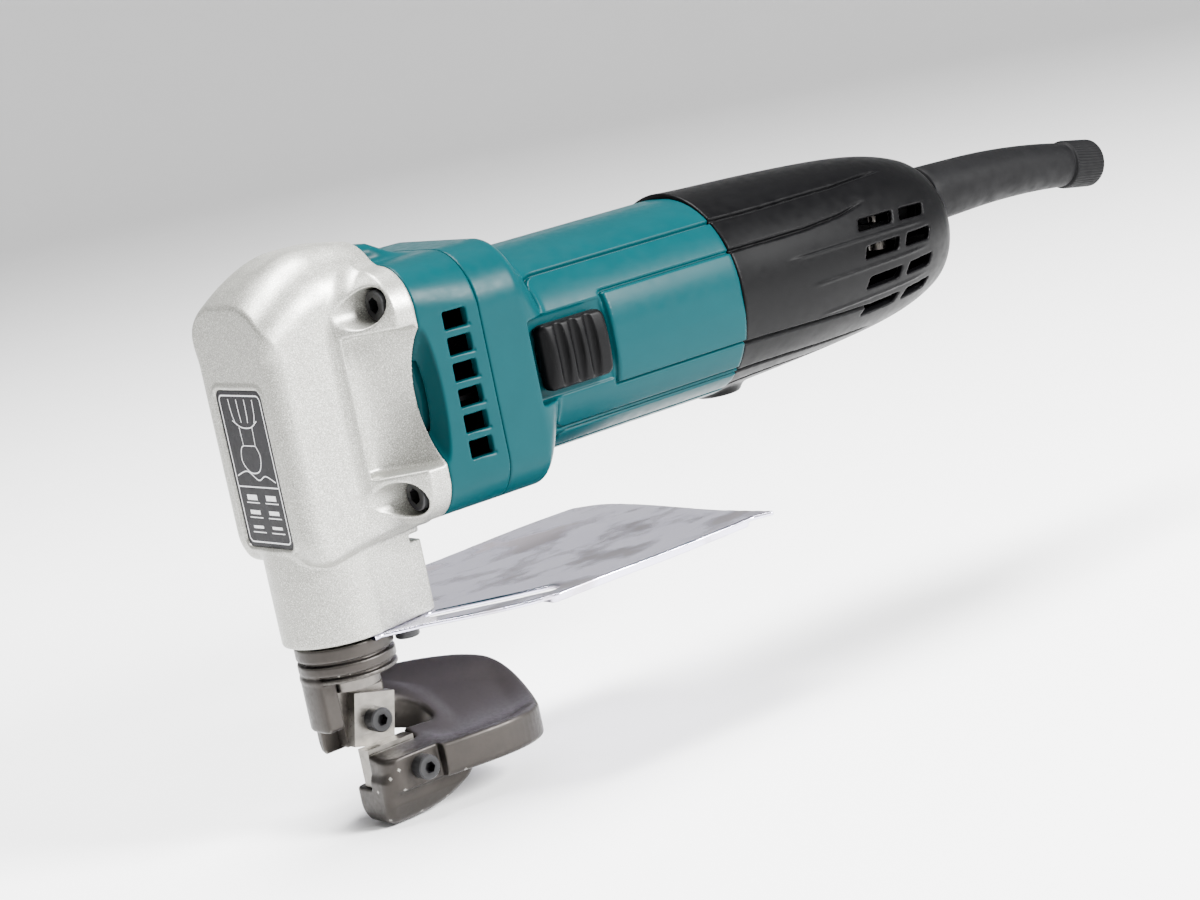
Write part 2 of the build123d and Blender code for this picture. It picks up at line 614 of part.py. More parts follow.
def commutator():
    body = ring_x(112, 125, 11.0, 4.0)
    for number in range(24):
        cut = block(113, 126, -0.3, 0.3, MOTOR_Z + 9.8, MOTOR_Z + 12)
        body -= about_motor(cut, 15 * number)
    return body


def cooling_fan():
    body = ring_x(35.4, 42.6, 8.0, 4.0) + ring_x(41.4, 42.6, 28.5, 8.0)
    for number in range(11):
        blade = block(35.4, 42.0, -0.7, 0.7, MOTOR_Z + 9.5, MOTOR_Z + 28.2)
        body += about_motor(blade, 360 / 11 * number)
    return body


def field_stator():
    body = ring_x(63, 103, 25.6, 18.6)
    body &= block(60, 110, -23.6, 23.6, MOTOR_Z - 30, MOTOR_Z + 30)
    for start in (-42, 138):
        body -= sector_x(60, 110, 17, 22.6, start, start + 84)
    return body


def field_coil(upper):
    start = 3.0
    body = sector_x(56, 110, 19.0, 22.4, start, 180 - start)
    body -= sector_x(63, 103, 17, 24, 41.5, 138.5)
    return body if upper else about_motor(body, 180)


def baffle_plate():
    return ring_x(RING_X + 2, RING_X + 3.6, 30.5, 17.0)


def brush_place(sign, shape):
    """A shape drawn above the motor axis, placed above or below it."""
    return shape if sign > 0 else about_motor(shape, 180)


def brush_holder(sign):
    z = MOTOR_Z
    tube = block(BRUSH_X - 5, BRUSH_X + 5, -6, 6, z + 12.2, z + 26.2)
    tube -= block(BRUSH_X - 3.2, BRUSH_X + 3.2, -4.2, 4.2, z + 12, z + 25.0)
    return brush_place(sign, tube & bar_x(BRUSH_X - 6, BRUSH_X + 6, BARREL_BORE - 0.1))


def carbon_brush(sign):
    z = MOTOR_Z
    brush = block(BRUSH_X - 3.0, BRUSH_X + 3.0, -4.0, 4.0, z + 10, z + 19.0)
    return brush_place(sign, brush - bar_x(BRUSH_X - 6, BRUSH_X + 6, 11.25))


def brush_spring(sign):
    z = MOTOR_Z + 19.2
    wire, coil_r, turns, height = 0.45, 2.4, 5, 5.4
    rings = []
    for turn in range(turns):
        ring_z = z + wire + (height - 2 * wire) * turn / (turns - 1)
        rings.append(Pos(BRUSH_X, 0, ring_z) * Torus(coil_r, wire))
    post = bar_z(z, z + height, 0.35, BRUSH_X + coil_r)
    body = post
    for ring in rings:
        body += ring
    return brush_place(sign, body)


# ---------------------------------------------------------------- switch and wiring
def switch_knob():
    z = MOTOR_Z
    pad = block(KNOB_X0, KNOB_X1, -33.4, -28.2, z - KNOB_HALF, z + KNOB_HALF)
    pad = fillet(pad.edges().filter_by(Axis.X).group_by(Axis.Y)[0], 1.6)
    for x in (69.5, 74.9, 80.3):
        pad -= block(x - 0.9, x + 0.9, -35, -32.6, z - 12, z + 12)
    stem = block(71, 79.8, -28.4, ROD_Y0, z - 3.0, z + 3.0)
    return pad + stem


def switch_rod():
    z = MOTOR_Z
    strip = block(69.5, 166, ROD_Y0, ROD_Y1, z - 4.0, z + 4.0)
    hook = block(161, 166, ROD_Y1 - 0.1, ROD_Y1 + 2.2, z - 4.0, z + 4.0)
    return strip + hook


def switch_body():
    z = MOTOR_Z
    body = block(154, 182, -21.6, -6, z - 12, z + 12)
    body -= block(156, 169, -22, -19.8, z - 5, z + 5)
    return body


def switch_slide():
    z = MOTOR_Z
    return block(161.2, 165.8, -22.1, -20.2, z - 4.2, z + 4.2)


def capacitor():
    z = MOTOR_Z
    return fillet(block(154, 180, 6, 18, z - 9, z + 9).edges().filter_by(Axis.X), 1.5)


def switch_bracket():
    z = MOTOR_Z
    plate = block(146, 184, -5.8, 5.8, z - 13, z - 11.4)
    return plate + block(146, 147.6, -5.8, 5.8, z - 20, z - 11.4)


def cord_clamp():
    bar = block(212, 219, -9, 9, GUARD_Z - 8.5, GUARD_Z - 2.5)
    for y in (-6.8, 6.8):
        bar -= bar_z(GUARD_Z - 10, GUARD_Z, 1.5, 215.5, y)
    return bar - bar_x(205, 225, 4.4, z=GUARD_Z)


def clamp_saddle():
    saddle = block(212, 219, -9, 9, GUARD_Z + 1.2, GUARD_Z + 7.0)
    saddle -= bar_x(205, 225, 4.4, z=GUARD_Z)
    for y in (-6.8, 6.8):
        saddle -= bar_z(GUARD_Z, GUARD_Z + 8, 1.5, 215.5, y)
    return saddle


def clamp_screw(y):
    screw = bar_z(0, 2.4, 2.8) + bar_z(-10.5, 0, 1.5)
    screw -= block(-3, 3, -0.4, 0.4, 1.6, 3) + block(-0.4, 0.4, -3, 3, 1.6, 3)
    return Pos(215.5, y, GUARD_Z - 8.5) * HEAD_FACING_DOWN * screw


def pan_screw_rear():
    screw = bar_z(0, 2.6, 3.5) + bar_z(-8.5, 0, 2.0)
    screw -= block(-4, 4, -0.5, 0.5, 1.6, 3) + block(-0.5, 0.5, -4, 4, 1.6, 3)
    return Pos(147, 0, MOTOR_Z - 29.0) * HEAD_FACING_DOWN * screw


def build_parts():
    front_crank = ball_bearing(9.6, 8.0, 6.0, 14.0, CRANK_Z)
    rear_crank = ball_bearing(26.0, 5.0, 3.0, 7.5, CRANK_Z)
    front_motor = ball_bearing(26.2, 6.0, 3.5, 9.5, MOTOR_Z)
    rear_motor = ball_bearing(130.0, 6.0, 3.0, 9.5, MOTOR_Z)
    housing_screws = [Pos(SCREW_SEAT_X, y, z) * HEAD_FACING_FRONT * socket_screw(5, 30)
                      for y, z in screw_places()]
    clamp_bolts = [Pos(CLAMP_SEAT_X, 0, z) * Rot(0, 90, 0) * socket_screw(4, 9.4)
                   for z in CLAMP_BOLT_Z]
    guide_screws = [guide_plate_screw(y) for y in (-GUIDE_SCREW_Y, GUIDE_SCREW_Y)]
    gear_blank = gear(18.4, 25.2, GEAR_TEETH, CRANK_Z, -pi / 2, 5.0)

    return {
        "gear_housing": gear_housing(),
        "gear_housing_cover": gear_housing_cover(),
        "motor_housing": motor_housing(),
        "rear_cover": rear_cover(),
        "cord_guard": cord_guard(),
        "label_plate": label_plate(),
        "housing_screws": solids_of(housing_screws),
        "yoke_clamp_bolts": solids_of(clamp_bolts),
        "rear_cover_screw": pan_screw_rear(),
        "yoke": yoke(),
        "slider_bush": bar_z(NECK_Z - 2, COLLAR_Z + 41, SLIDER_R + 1.5)
        - bar_z(NECK_Z - 3, COLLAR_Z + 42, SLIDER_R + FIT),
        "slider": slider(),
        "upper_blade": upper_blade(),
        "upper_blade_bolt": upper_blade_bolt(),
        "lower_blade": lower_blade(),
        "lower_blade_bolt": lower_blade_bolt(),
        "guide_plate": guide_plate(),
        "guide_plate_screws": solids_of(guide_screws),
        "crank_shaft": crank_shaft(),
        "crank_gear": gear_blank,
        "eccentric_roller": eccentric_roller(),
        "roller_clip": roller_clip(),
        "crank_bearing_outer_rings": solids_of([front_crank[0], rear_crank[0]]),
        "crank_bearing_inner_rings": solids_of([front_crank[1], rear_crank[1]]),
        "crank_bearing_balls": solids_of(front_crank[2] + rear_crank[2]),
        "armature_shaft": armature_shaft(),
        "armature_core": armature_core(),
        "armature_winding": armature_winding(),
        "commutator": commutator(),
        "cooling_fan": cooling_fan(),
        "armature_bearing_outer_rings": solids_of([front_motor[0], rear_motor[0]]),
        "armature_bearing_inner_rings": solids_of([front_motor[1], rear_motor[1]]),
        "armature_bearing_balls": solids_of(front_motor[2] + rear_motor[2]),
        "field_stator": field_stator(),
        "field_coils": solids_of([field_coil(True), field_coil(False)]),
        "baffle_plate": baffle_plate(),
        "brush_holders": solids_of([brush_holder(1), brush_holder(-1)]),
        "carbon_brush_upper": carbon_brush(1),
        "carbon_brush_lower": carbon_brush(-1),
        "brush_spring_upper": brush_spring(1),
        "brush_spring_lower": brush_spring(-1),
        "switch_knob": switch_knob(),
        "switch_rod": switch_rod(),
        "switch_slide": switch_slide(),
        "switch_body": switch_body(),
        "switch_bracket": switch_bracket(),
        "capacitor": capacitor(),
        "cord_clamp": cord_clamp(),
        "clamp_saddle": clamp_saddle(),
        "clamp_screws": solids_of([clamp_screw(-6.8), clamp_screw(6.8)]),
    }


os.makedirs("parts", exist_ok=True)
for name, shape in build_parts().items():
    export_step(shape, f"parts/{name}.step")
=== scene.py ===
from math import cos, pi, radians, sin

import bpy
import numpy as np
from mathutils import Matrix, Vector


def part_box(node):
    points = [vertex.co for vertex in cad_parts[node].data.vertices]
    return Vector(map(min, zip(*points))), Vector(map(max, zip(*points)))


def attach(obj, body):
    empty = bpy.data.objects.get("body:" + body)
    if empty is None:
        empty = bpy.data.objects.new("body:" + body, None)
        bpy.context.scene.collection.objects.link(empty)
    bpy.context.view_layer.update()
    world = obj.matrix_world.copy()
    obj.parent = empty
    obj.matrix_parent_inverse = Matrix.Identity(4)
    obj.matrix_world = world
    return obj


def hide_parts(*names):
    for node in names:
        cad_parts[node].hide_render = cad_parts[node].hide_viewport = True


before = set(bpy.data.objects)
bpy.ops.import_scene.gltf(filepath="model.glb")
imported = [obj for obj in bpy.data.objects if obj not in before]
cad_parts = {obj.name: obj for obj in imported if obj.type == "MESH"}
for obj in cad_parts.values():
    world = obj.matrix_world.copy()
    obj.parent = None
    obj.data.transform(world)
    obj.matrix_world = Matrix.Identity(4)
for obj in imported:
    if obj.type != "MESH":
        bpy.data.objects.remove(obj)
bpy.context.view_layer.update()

# Electric straight metal shear. Shapes are worked out in millimetres in the frame's axes:
# +Z up the slider, +X back along the motor, -Y the side of the slide switch.
MM = 0.001


def box_mm(node):
    low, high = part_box(node)
    return np.array(low) / MM, np.array(high) / MM


# Stations that the frame gives
housing_low, housing_high = box_mm("gear_housing")
cover_low, cover_high = box_mm("gear_housing_cover")
shell_low = box_mm("motor_housing")[0]
rear_low, rear_high = box_mm("rear_cover")
rotor_low, rotor_high = box_mm("armature_core")
gear_low, gear_high = box_mm("crank_gear")
screws_low, screws_high = box_mm("housing_screws")
label_low, label_high = box_mm("label_plate")
knob_low, knob_high = box_mm("switch_knob")
bolt_low = box_mm("lower_blade_bolt")[0]
plate_screws_low, plate_screws_high = box_mm("guide_plate_screws")

NECK_Z = housing_low[2]
HEAD_TOP_Z = housing_high[2]
HEAD_Z = NECK_Z + 22.0
COLLAR_Z = NECK_Z - 9.0
FRONT_X = label_low[0] - 0.25
JOINT_X = cover_low[0]
RING_X = shell_low[0]
FLANGE_X = RING_X + 12.0
BARREL_X = FLANGE_X + 14.0
SEAM_X = rear_low[0]
REAR_X = rear_high[0]
MOTOR_Z = (rotor_low[2] + rotor_high[2]) / 2
CRANK_Z = (gear_low[2] + gear_high[2]) / 2
SCREW_HEAD_R = 4.25
SCREW_Y = screws_high[1] - SCREW_HEAD_R
SCREW_Z = (screws_low[2] + SCREW_HEAD_R, screws_high[2] - SCREW_HEAD_R)
SCREW_SEAT_X = screws_low[0] + 5.0
SCREW_HOLE_R = 2.6
SCREW_BOSS_R = 5.0
GUARD_Z = MOTOR_Z + 8.0
FOOT_X = 147.0  # foot, tongue and screw that hold the rear cover from below

# Sections across the tool: half width, reach below and above the motor axis, corner radii
HEAD_HALF = 20.3
EAR = (21.3, 30.0, 32.0, 8.0, 14.0)
JOINT = (33.1, 34.5, 36.3, 12.0, 13.0)
FLANGE = (34.3, 34.5, 36.3, 13.0, 17.0)
BARREL = (30.3, 30.3, 30.3, 28.0, 28.0)
BARREL_BORE = 26.6
NECK_R = 16.5
STEM_R = 12.5
COLLAR_R = 13.84
SLIDER_R = 8.0
YOKE_BORE_R = SLIDER_R + 0.6
WALL = 3.0


# ---------------------------------------------------------------- camera
def add_camera():
    """Three-quarter view of the front and the switch side, with the tool leaning left."""
    azimuth, elevation, roll = radians(36.0), radians(10.44), radians(-11.53)
    forward = Vector((sin(azimuth) * cos(elevation), cos(azimuth) * cos(elevation),
                      -sin(elevation)))
    level = forward.cross(Vector((0, 0, 1))).normalized()
    rise = level.cross(forward)
    right = level * cos(roll) + rise * sin(roll)
    up = rise * cos(roll) - level * sin(roll)
    camera = bpy.data.objects.new("camera", bpy.data.cameras.new("camera"))
    camera.data.lens = 87.49
    camera.data.sensor_width = 36.0
    camera.data.clip_start = 0.01
    turn = Matrix((right, up, -forward)).transposed()
    camera.matrix_world = Matrix.Translation((-0.3977, -0.6839, 0.2362)) @ turn.to_4x4()
    bpy.context.scene.collection.objects.link(camera)
    bpy.context.scene.camera = camera


add_camera()


# ---------------------------------------------------------------- implicit shapes
# Each shape is a field over a grid: negative inside, about the distance in millimetres.
def meet(a, b, r=0.0):
    """What is in both, with edges of radius r."""
    if np.isscalar(r) and r == 0.0:
        return np.maximum(a, b)
    rounded = np.hypot(np.maximum(a + r, 0), np.maximum(b + r, 0))
    return np.minimum(np.maximum(a, b), -r) + rounded


def join(a, b, r=0.0):
    """What is in either, with a fillet of radius r between them."""
    return -meet(-a, -b, r)


def cut(a, b, r=0.0):
    """What is in a and not in b, with rims of radius r."""
    return meet(a, -b, r)


def span(c, low, high):
    return np.abs(c - (low + high) / 2) - (high - low) / 2


def rod(u, v, centre_u, centre_v, radius):
    return np.hypot(u - centre_u, v - centre_v) - radius


def panel(u, v, low_u, high_u, low_v, high_v, corner=0.0):
    """Rectangle with rounded corners."""
    du = span(u, low_u, high_u) + corner
    dv = span(v, low_v, high_v) + corner
    outside = np.hypot(np.maximum(du, 0), np.maximum(dv, 0))
    return outside + np.minimum(np.maximum(du, dv), 0) - corner


def brick(x, y, z, x_span, y_span, z_span, edge=0.0):
    return meet(meet(span(x, *x_span), span(y, *y_span), edge), span(z, *z_span), edge)


def smooth(low, high, c):
    """0 below low, 1 above high, eased between."""
    t = np.clip((c - low) / (high - low), 0, 1)
    return t * t * (3 - 2 * t)


def section(y, z, half, drop, rise, low_corner, high_corner):
    """Section about the motor axis with its own corner radius below and above."""
    corner = np.where(z > MOTOR_Z, high_corner, low_corner)
    return panel(y, z, -half, half, MOTOR_Z - drop, MOTOR_Z + rise, corner)


def between(share, start, end):
    return [a + (b - a) * share for a, b in zip(start, end)]


def outline(u, v, points):
    """Signed distance to a closed outline of straight runs."""
    nearest, inside = np.inf, False
    for (au, av), (bu, bv) in zip(points, points[1:] + points[:1]):
        eu, ev = bu - au, bv - av
        wu, wv = u - au, v - av
        t = np.clip((wu * eu + wv * ev) / (eu * eu + ev * ev), 0, 1)
        nearest = np.minimum(nearest, np.hypot(wu - eu * t, wv - ev * t))
        left = eu * wv > ev * wu
        upward = (v >= av) & (v < bv) & left
        downward = (v < av) & (v >= bv) & ~left
        inside = inside ^ upward ^ downward
    return np.where(inside, -nearest, nearest)


def curve(points, steps=6):
    """Smooth open line through the points."""
    padded = [points[0]] + list(points) + [points[-1]]
    line = []
    for a, b, c, d in zip(padded, padded[1:], padded[2:], padded[3:]):
        a, b, c, d = (np.array(p, float) for p in (a, b, c, d))
        for step in range(steps):
            t = step / steps
            line.append(tuple(0.5 * (2 * b + (c - a) * t + (2 * a - 5 * b + 4 * c - d) * t**2
                                     + (3 * b - a - 3 * c + d) * t**3)))
    return line + [tuple(points[-1])]


def surface_net(field, origin, cell):
    """Quads on the zero level of a sampled field, one corner in each cell that it crosses."""
    strides = np.array([field.shape[1] * field.shape[2], field.shape[2], 1])
    flat_field = field.ravel()
    inside = field < 0
    quads, crossings = [], []
    for axis in range(3):
        u, v = (axis + 1) % 3, (axis + 2) % 3
        near, far = [slice(None)] * 3, [slice(None)] * 3
        near[axis], far[axis] = slice(0, -1), slice(1, None)
        place = np.argwhere(inside[tuple(near)] != inside[tuple(far)])
        index = place @ strides
        value = flat_field[index].astype(float)
        share = value / (value - flat_field[index + strides[axis]])
        point = place.astype(float)
        point[:, axis] += share
        around = [index, index - strides[u], index - strides[u] - strides[v],
                  index - strides[v]]
        quad = np.stack(around, 1)
        inward = value > 0
        quad[inward] = quad[inward][:, ::-1]
        quads.append(quad)
        crossings.append(np.repeat(point, 4, axis=0))
    quads, crossings = np.concatenate(quads), np.concatenate(crossings)
    corner = np.unique(quads.ravel(), return_inverse=True)[1]
    count = np.bincount(corner)
    points = np.stack([np.bincount(corner, crossings[:, k]) / count for k in range(3)], 1)
    return origin + points * cell, corner.reshape(quads.shape)


def mesh_object(name, points, faces):
    """A smooth-shaded mesh object from points in millimetres and equal-sided faces."""
    mesh = bpy.data.meshes.new(name)
    mesh.vertices.add(len(points))
    mesh.vertices.foreach_set("co", (points * MM).astype(np.float32).ravel())
    mesh.loops.add(faces.size)
    mesh.loops.foreach_set("vertex_index", faces.astype(np.int32).ravel())
    mesh.polygons.add(len(faces))
    mesh.polygons.foreach_set("loop_start", np.arange(0, faces.size, faces.shape[1]))
    mesh.polygons.foreach_set("use_smooth", np.ones(len(faces), bool))
    mesh.update(calc_edges=True)
    made = bpy.data.objects.new(name, mesh)
    bpy.context.scene.collection.objects.link(made)
    return made


def solid(name, shape, low, high, cell):
    """Mesh of an implicit shape inside the box from low to high, sampled at cell."""
    cell = np.array(cell, float) * 1.0
    low, high = np.array(low, float), np.array(high, float)
    origin = low - 2.37 * cell
    axes = [np.arange(start, stop + 2 * step, step, dtype=np.float32)
            for start, stop, step in zip(origin, high, cell)]
    field = shape(*np.meshgrid(*axes, indexing="ij", sparse=True))
    return mesh_object(name, *surface_net(field, origin, cell))


# ---------------------------------------------------------------- gear housing
ROOF_FALL = 10.2  # how far the roof falls from its crown to the front face
ROOF_CROWN_X = 7.4
POCKET_R = 5.1
WAIST_Z = (MOTOR_Z - 18.8, MOTOR_Z + 20.0)
WAIST_R, WAIST_Y = 25.5, 50.2
WAIST_FLOOR = 17.0
WAIST_START_X, WAIST_FLARE_X = 6.8, 12.0
EAR_X, EAR_END_X = 5.0, 18.0  # the ears widen between these
ROOF_REAR_X, ROOF_REAR_FALL = 14.0, 1.9  # the roof also falls a little behind
LOW_CORNER, TOP_CORNER = 9.0, 15.5  # corner radii of the head
LABEL_GAP, LABEL_DEPTH = 0.25, 0.7
CHAMBER_X, CHAMBER_HALF = -7.0, 16.3
BEARING_R, BEARING_X = 14.0, (9.0, 18.0)
GUIDE_SCREW_X, GUIDE_SCREW_Y, GUIDE_SCREW_R = 16.0, 8.0, 2.0


def waist(x, side_y, z):
    """The hollow between the screw ears, curving out to the joint like a saddle."""
    reach = np.sqrt(np.maximum(WAIST_R**2 - (z - MOTOR_Z) ** 2, 1.0))
    share = np.clip((x - WAIST_FLARE_X) / (JOINT_X - WAIST_FLARE_X), 0, 1)
    floor = WAIST_FLOOR + (WAIST_Y - reach - WAIST_FLOOR) * share**1.8
    hollow = meet((floor - side_y) * 0.75, span(z, *WAIST_Z), 1.6)
    return meet(hollow, WAIST_START_X - x, 0.5)


def gear_housing(x, y, z):
    side_y = np.abs(y)
    fall = ROOF_FALL * (np.maximum(ROOF_CROWN_X - x, 0) / (ROOF_CROWN_X - FRONT_X)) ** 1.7
    fall = fall + ROOF_REAR_FALL * (np.maximum(x - ROOF_REAR_X, 0) / 12) ** 2
    corner = np.where(z > (HEAD_Z + HEAD_TOP_Z) / 2, TOP_CORNER, LOW_CORNER)
    head = panel(y, z + fall, -HEAD_HALF, HEAD_HALF, HEAD_Z, HEAD_TOP_Z, corner)
    side_edge = smooth(HEAD_TOP_Z - 15, HEAD_TOP_Z - 27, z)
    head = meet(head, FRONT_X - x, 0.9 + 4.1 * side_edge)
    slope = (FRONT_X + HEAD_Z + 4.5 - x - z) * 0.7
    head = meet(meet(head, slope, 4.0), HEAD_Z + 0.085 * (x + 9) - z, 4.0)

    share = np.clip((x - EAR_X) / (EAR_END_X - EAR_X), 0, 1)
    steep = np.where(x < EAR_END_X, 0.72, 1.0)
    ears = section(y, z, *between(share, EAR, JOINT)) * steep
    ears = meet(ears, EAR_X - x, 1.5)
    body = join(head, ears, 2.6)
    body = cut(body, waist(x, side_y, z), 0.8)

    neck = join(rod(x, y, 0, 0, NECK_R),
                outline(x, y, [(3, -16.1), (JOINT_X, -11.7), (JOINT_X, 11.7), (3, 16.1)]))
    neck = meet(neck, span(z, NECK_Z, HEAD_Z + 8), 0.7)
    body = join(body, neck, 1.2)
    body = meet(body, x - JOINT_X, 0.3)

    for screw_z in SCREW_Z:
        bowl = rod(side_y, z, SCREW_Y, screw_z, POCKET_R)
        body = cut(body, meet(bowl, x - SCREW_SEAT_X, 0.6), 0.6)
        body = cut(body, rod(side_y, z, SCREW_Y, screw_z, SCREW_HOLE_R))
    recess = panel(y, z, label_low[1] - LABEL_GAP, label_high[1] + LABEL_GAP,
                   label_low[2] - LABEL_GAP, label_high[2] + LABEL_GAP, 2.4)
    rim = meet(np.abs(recess - 0.7) - 0.7, FRONT_X - 0.25 - x, 0.25)
    body = join(body, rim, 0.5)
    body = cut(body, meet(recess, x - FRONT_X - LABEL_DEPTH), 0.25)

    # Crank chamber, bearing bore, bores for stem and slider, gap behind the neck
    chamber = panel(y, z, -CHAMBER_HALF, CHAMBER_HALF, COLLAR_Z + 42, CRANK_Z + 18.3, 8.0)
    chamber = meet(chamber, CHAMBER_X - x, 1.0)
    web = brick(x, y, z, (8.8, 17.6), (-17, 17), (MOTOR_Z + 2, HEAD_TOP_Z))
    body = cut(body, cut(chamber, web))
    body = cut(body, meet(rod(y, z, 0, CRANK_Z, BEARING_R), span(x, *BEARING_X)))
    body = cut(body, meet(rod(x, y, 0, 0, STEM_R), z - COLLAR_Z - 43))
    body = cut(body, meet(rod(x, y, 0, 0, SLIDER_R + 1), z - CRANK_Z + 10))
    screw_hole = rod(x, side_y, GUIDE_SCREW_X, GUIDE_SCREW_Y, GUIDE_SCREW_R)
    body = cut(body, meet(screw_hole, z - NECK_Z - 4.5))
    gap = brick(x, y, z, (20.5, 30), (-12.5, 12.5), (HEAD_Z - 1.4, HEAD_Z + 0.6))
    return cut(body, gap, 0.2)


# ---------------------------------------------------------------- teal housings
SCOOP_DEPTH = 4.3
SLIT_Y = (25.1, 26.7)
VENT_X = (32.4, 39.8)
VENT_ROWS, VENT_PITCH, VENT_HALF = 6, 7.2, 2.5
VENT_TOP = 18.6  # first vent above the motor axis
BORE_R = {"motor": 9.5, "crank": 7.5}


def scoop(x, side_y, z):
    """Flattened ball that carries the gear housing's waist on into the cover."""
    away = (side_y - WAIST_Y) ** 2 + (z - MOTOR_Z) ** 2
    reach = np.sqrt(((x - JOINT_X) / SCOOP_DEPTH) ** 2 + away / WAIST_R**2)
    slope = np.sqrt((x - JOINT_X) ** 2 / SCOOP_DEPTH**4 + away / WAIST_R**4)
    return reach * (reach - 1) / np.maximum(slope, 1e-6)


def gear_housing_cover(x, y, z):
    side_y = np.abs(y)
    share = np.clip((x - JOINT_X) / (RING_X - JOINT_X), 0, 1)
    flange = section(y, z, *between(share, JOINT, FLANGE))
    hump = outline(x, z, [(JOINT_X - 4, HEAD_TOP_Z - 16), (JOINT_X - 4, HEAD_TOP_Z - 2.1),
                          (JOINT_X + 4, HEAD_TOP_Z - 3.0), (JOINT_X + 17, HEAD_TOP_Z - 10)])
    body = join(flange, meet(hump, span(y, -12, 12), 3.0), 2.5)
    body = cut(body, scoop(x, side_y, z), 0.5)
    inner = section(y, z, *[value - WALL for value in FLANGE])
    body = cut(body, meet(inner, 31.5 - x, 1.0))
    body = cut(body, meet(rod(y, z, 0, CRANK_Z, 16.0), x - 25.7))
    for row in range(VENT_ROWS):
        vent_z = MOTOR_Z + VENT_TOP - VENT_PITCH * row
        slot = meet(panel(x, z, *VENT_X, vent_z - VENT_HALF, vent_z + VENT_HALF, 0.3),
                    29 - side_y)
        body = cut(body, slot, 0.25)
        ramp = (side_y - 33.7) - 0.75 * (vent_z - VENT_HALF - z)
        lip = meet(panel(x, z, VENT_X[0] - 0.4, VENT_X[1] + 0.6,
                         vent_z - VENT_HALF - 2.2, vent_z - VENT_HALF + 0.5), -ramp)
        body = cut(body, lip, 0.2)
    slit = brick(x, side_y, z, (JOINT_X - 2, 34), SLIT_Y, (MOTOR_Z - 10.5, MOTOR_Z + 9.7), 0.3)
    body = cut(body, slit, 0.15)
    for bore_z, bore_r in ((MOTOR_Z, BORE_R["motor"]), (CRANK_Z, BORE_R["crank"])):
        body = cut(body, meet(rod(y, z, 0, bore_z, bore_r), x - 32.4))
    for screw_z in SCREW_Z:
        boss = meet(rod(side_y, z, SCREW_Y, screw_z, SCREW_BOSS_R), flange)
        body = join(body, meet(boss, 30 - x))
        body = cut(body, rod(side_y, z, SCREW_Y, screw_z, SCREW_HOLE_R))
    return meet(body, span(x, JOINT_X, RING_X), 0.3)


def side_angle(y, z):
    """Angle about the motor axis in degrees, 0 at either side and positive upwards."""
    return np.degrees(np.arctan2(z - MOTOR_Z, np.abs(y)))


def channel(lateral, depth, width):
    """Depth profile of a moulded groove across its line."""
    return depth * smooth(width, 0.25 * width, np.abs(lateral))


DEGREE = BARREL[0] * pi / 180  # length of one degree on the barrel
GROOVE_END_X = SEAM_X + 30  # past the seam, so that the grooves run out of the barrel
RECESS_HALF = 12.0


def motor_housing(x, y, z):
    side_y = np.abs(y)
    share = smooth(FLANGE_X + 1.0, BARREL_X, x)
    body = section(y, z, *between(share, FLANGE, BARREL))
    body = body * np.where((x > FLANGE_X) & (x < BARREL_X), 0.85, 1.0)

    # Moulded grooves: a large panel, a long channel below it and the raised name panel
    around = side_angle(y, z) * DEGREE
    broad = panel(x, around, 67.5, GROOVE_END_X, -44.5 * DEGREE, 46 * DEGREE, 5.0)
    low = panel(x, around, 70.5, GROOVE_END_X, -64 * DEGREE, -47.5 * DEGREE, 4.0)
    raised = panel(x, around, 89.5, GROOVE_END_X, -26 * DEGREE, 25.5 * DEGREE, 0.8)
    ends = smooth(18 * DEGREE, 30 * DEGREE, np.abs(around))
    groove = np.maximum(channel(broad, 1.3, 0.75) * ends, channel(low, 1.3, 0.75))
    groove = np.maximum(groove, channel(raised, 1.1, 0.7))
    groove = groove - 0.45 * smooth(0.3, -0.3, raised)
    body = body + groove * smooth(64, 68, x)

    cavity = join(meet(rod(y, z, 0, MOTOR_Z, 30.5), x - 57), rod(y, z, 0, MOTOR_Z, BARREL_BORE))
    hollow = meet(section(y, z, *[value - WALL for value in FLANGE]), x - RING_X - 4)
    web = meet(span(x, 128.5, 136.5), 9.5 - np.hypot(y, z - MOTOR_Z))
    body = cut(body, cut(join(cavity, hollow), web))

    recess = brick(x, y, z, (knob_low[0] - 4.5, knob_high[0] + 2.6), (-45, knob_low[1] + 5.4),
                   (MOTOR_Z - RECESS_HALF, MOTOR_Z + RECESS_HALF), 1.0)
    body = cut(body, recess, 0.35)
    body = cut(body, brick(x, y, z, (64, 80.5), (-31, -20), (MOTOR_Z - 3.5, MOTOR_Z + 3.5)))
    flange = section(y, z, *FLANGE)
    for screw_z in SCREW_Z:
        boss = meet(rod(side_y, z, SCREW_Y, screw_z, SCREW_BOSS_R), flange)
        boss = meet(boss, span(x, RING_X, 55))
        body = join(body, boss)
        body = cut(body, meet(rod(side_y, z, SCREW_Y, screw_z, 2.5), x - 53.5))
    body = meet(body, span(x, RING_X, SEAM_X), 0.3)
    tongue = brick(x, y, z, (SEAM_X - 3, FOOT_X + 7), (-5, 5), (MOTOR_Z - 25.5, MOTOR_Z - 20), 0.6)
    body = join(body, tongue)
    return cut(body, rod(x, y, FOOT_X, 0, 2.0) + np.maximum(z - MOTOR_Z, 0))


# ---------------------------------------------------------------- rear cover
COVER_AXIS_Z = MOTOR_Z + 0.6
COVER_X = (138.5, 158, 178, 198, 214, 227, 236, 242)
COVER_R = (31.3, 30.3, 29.4, 28.2, 26.4, 23.6, 20.0, 16.4)
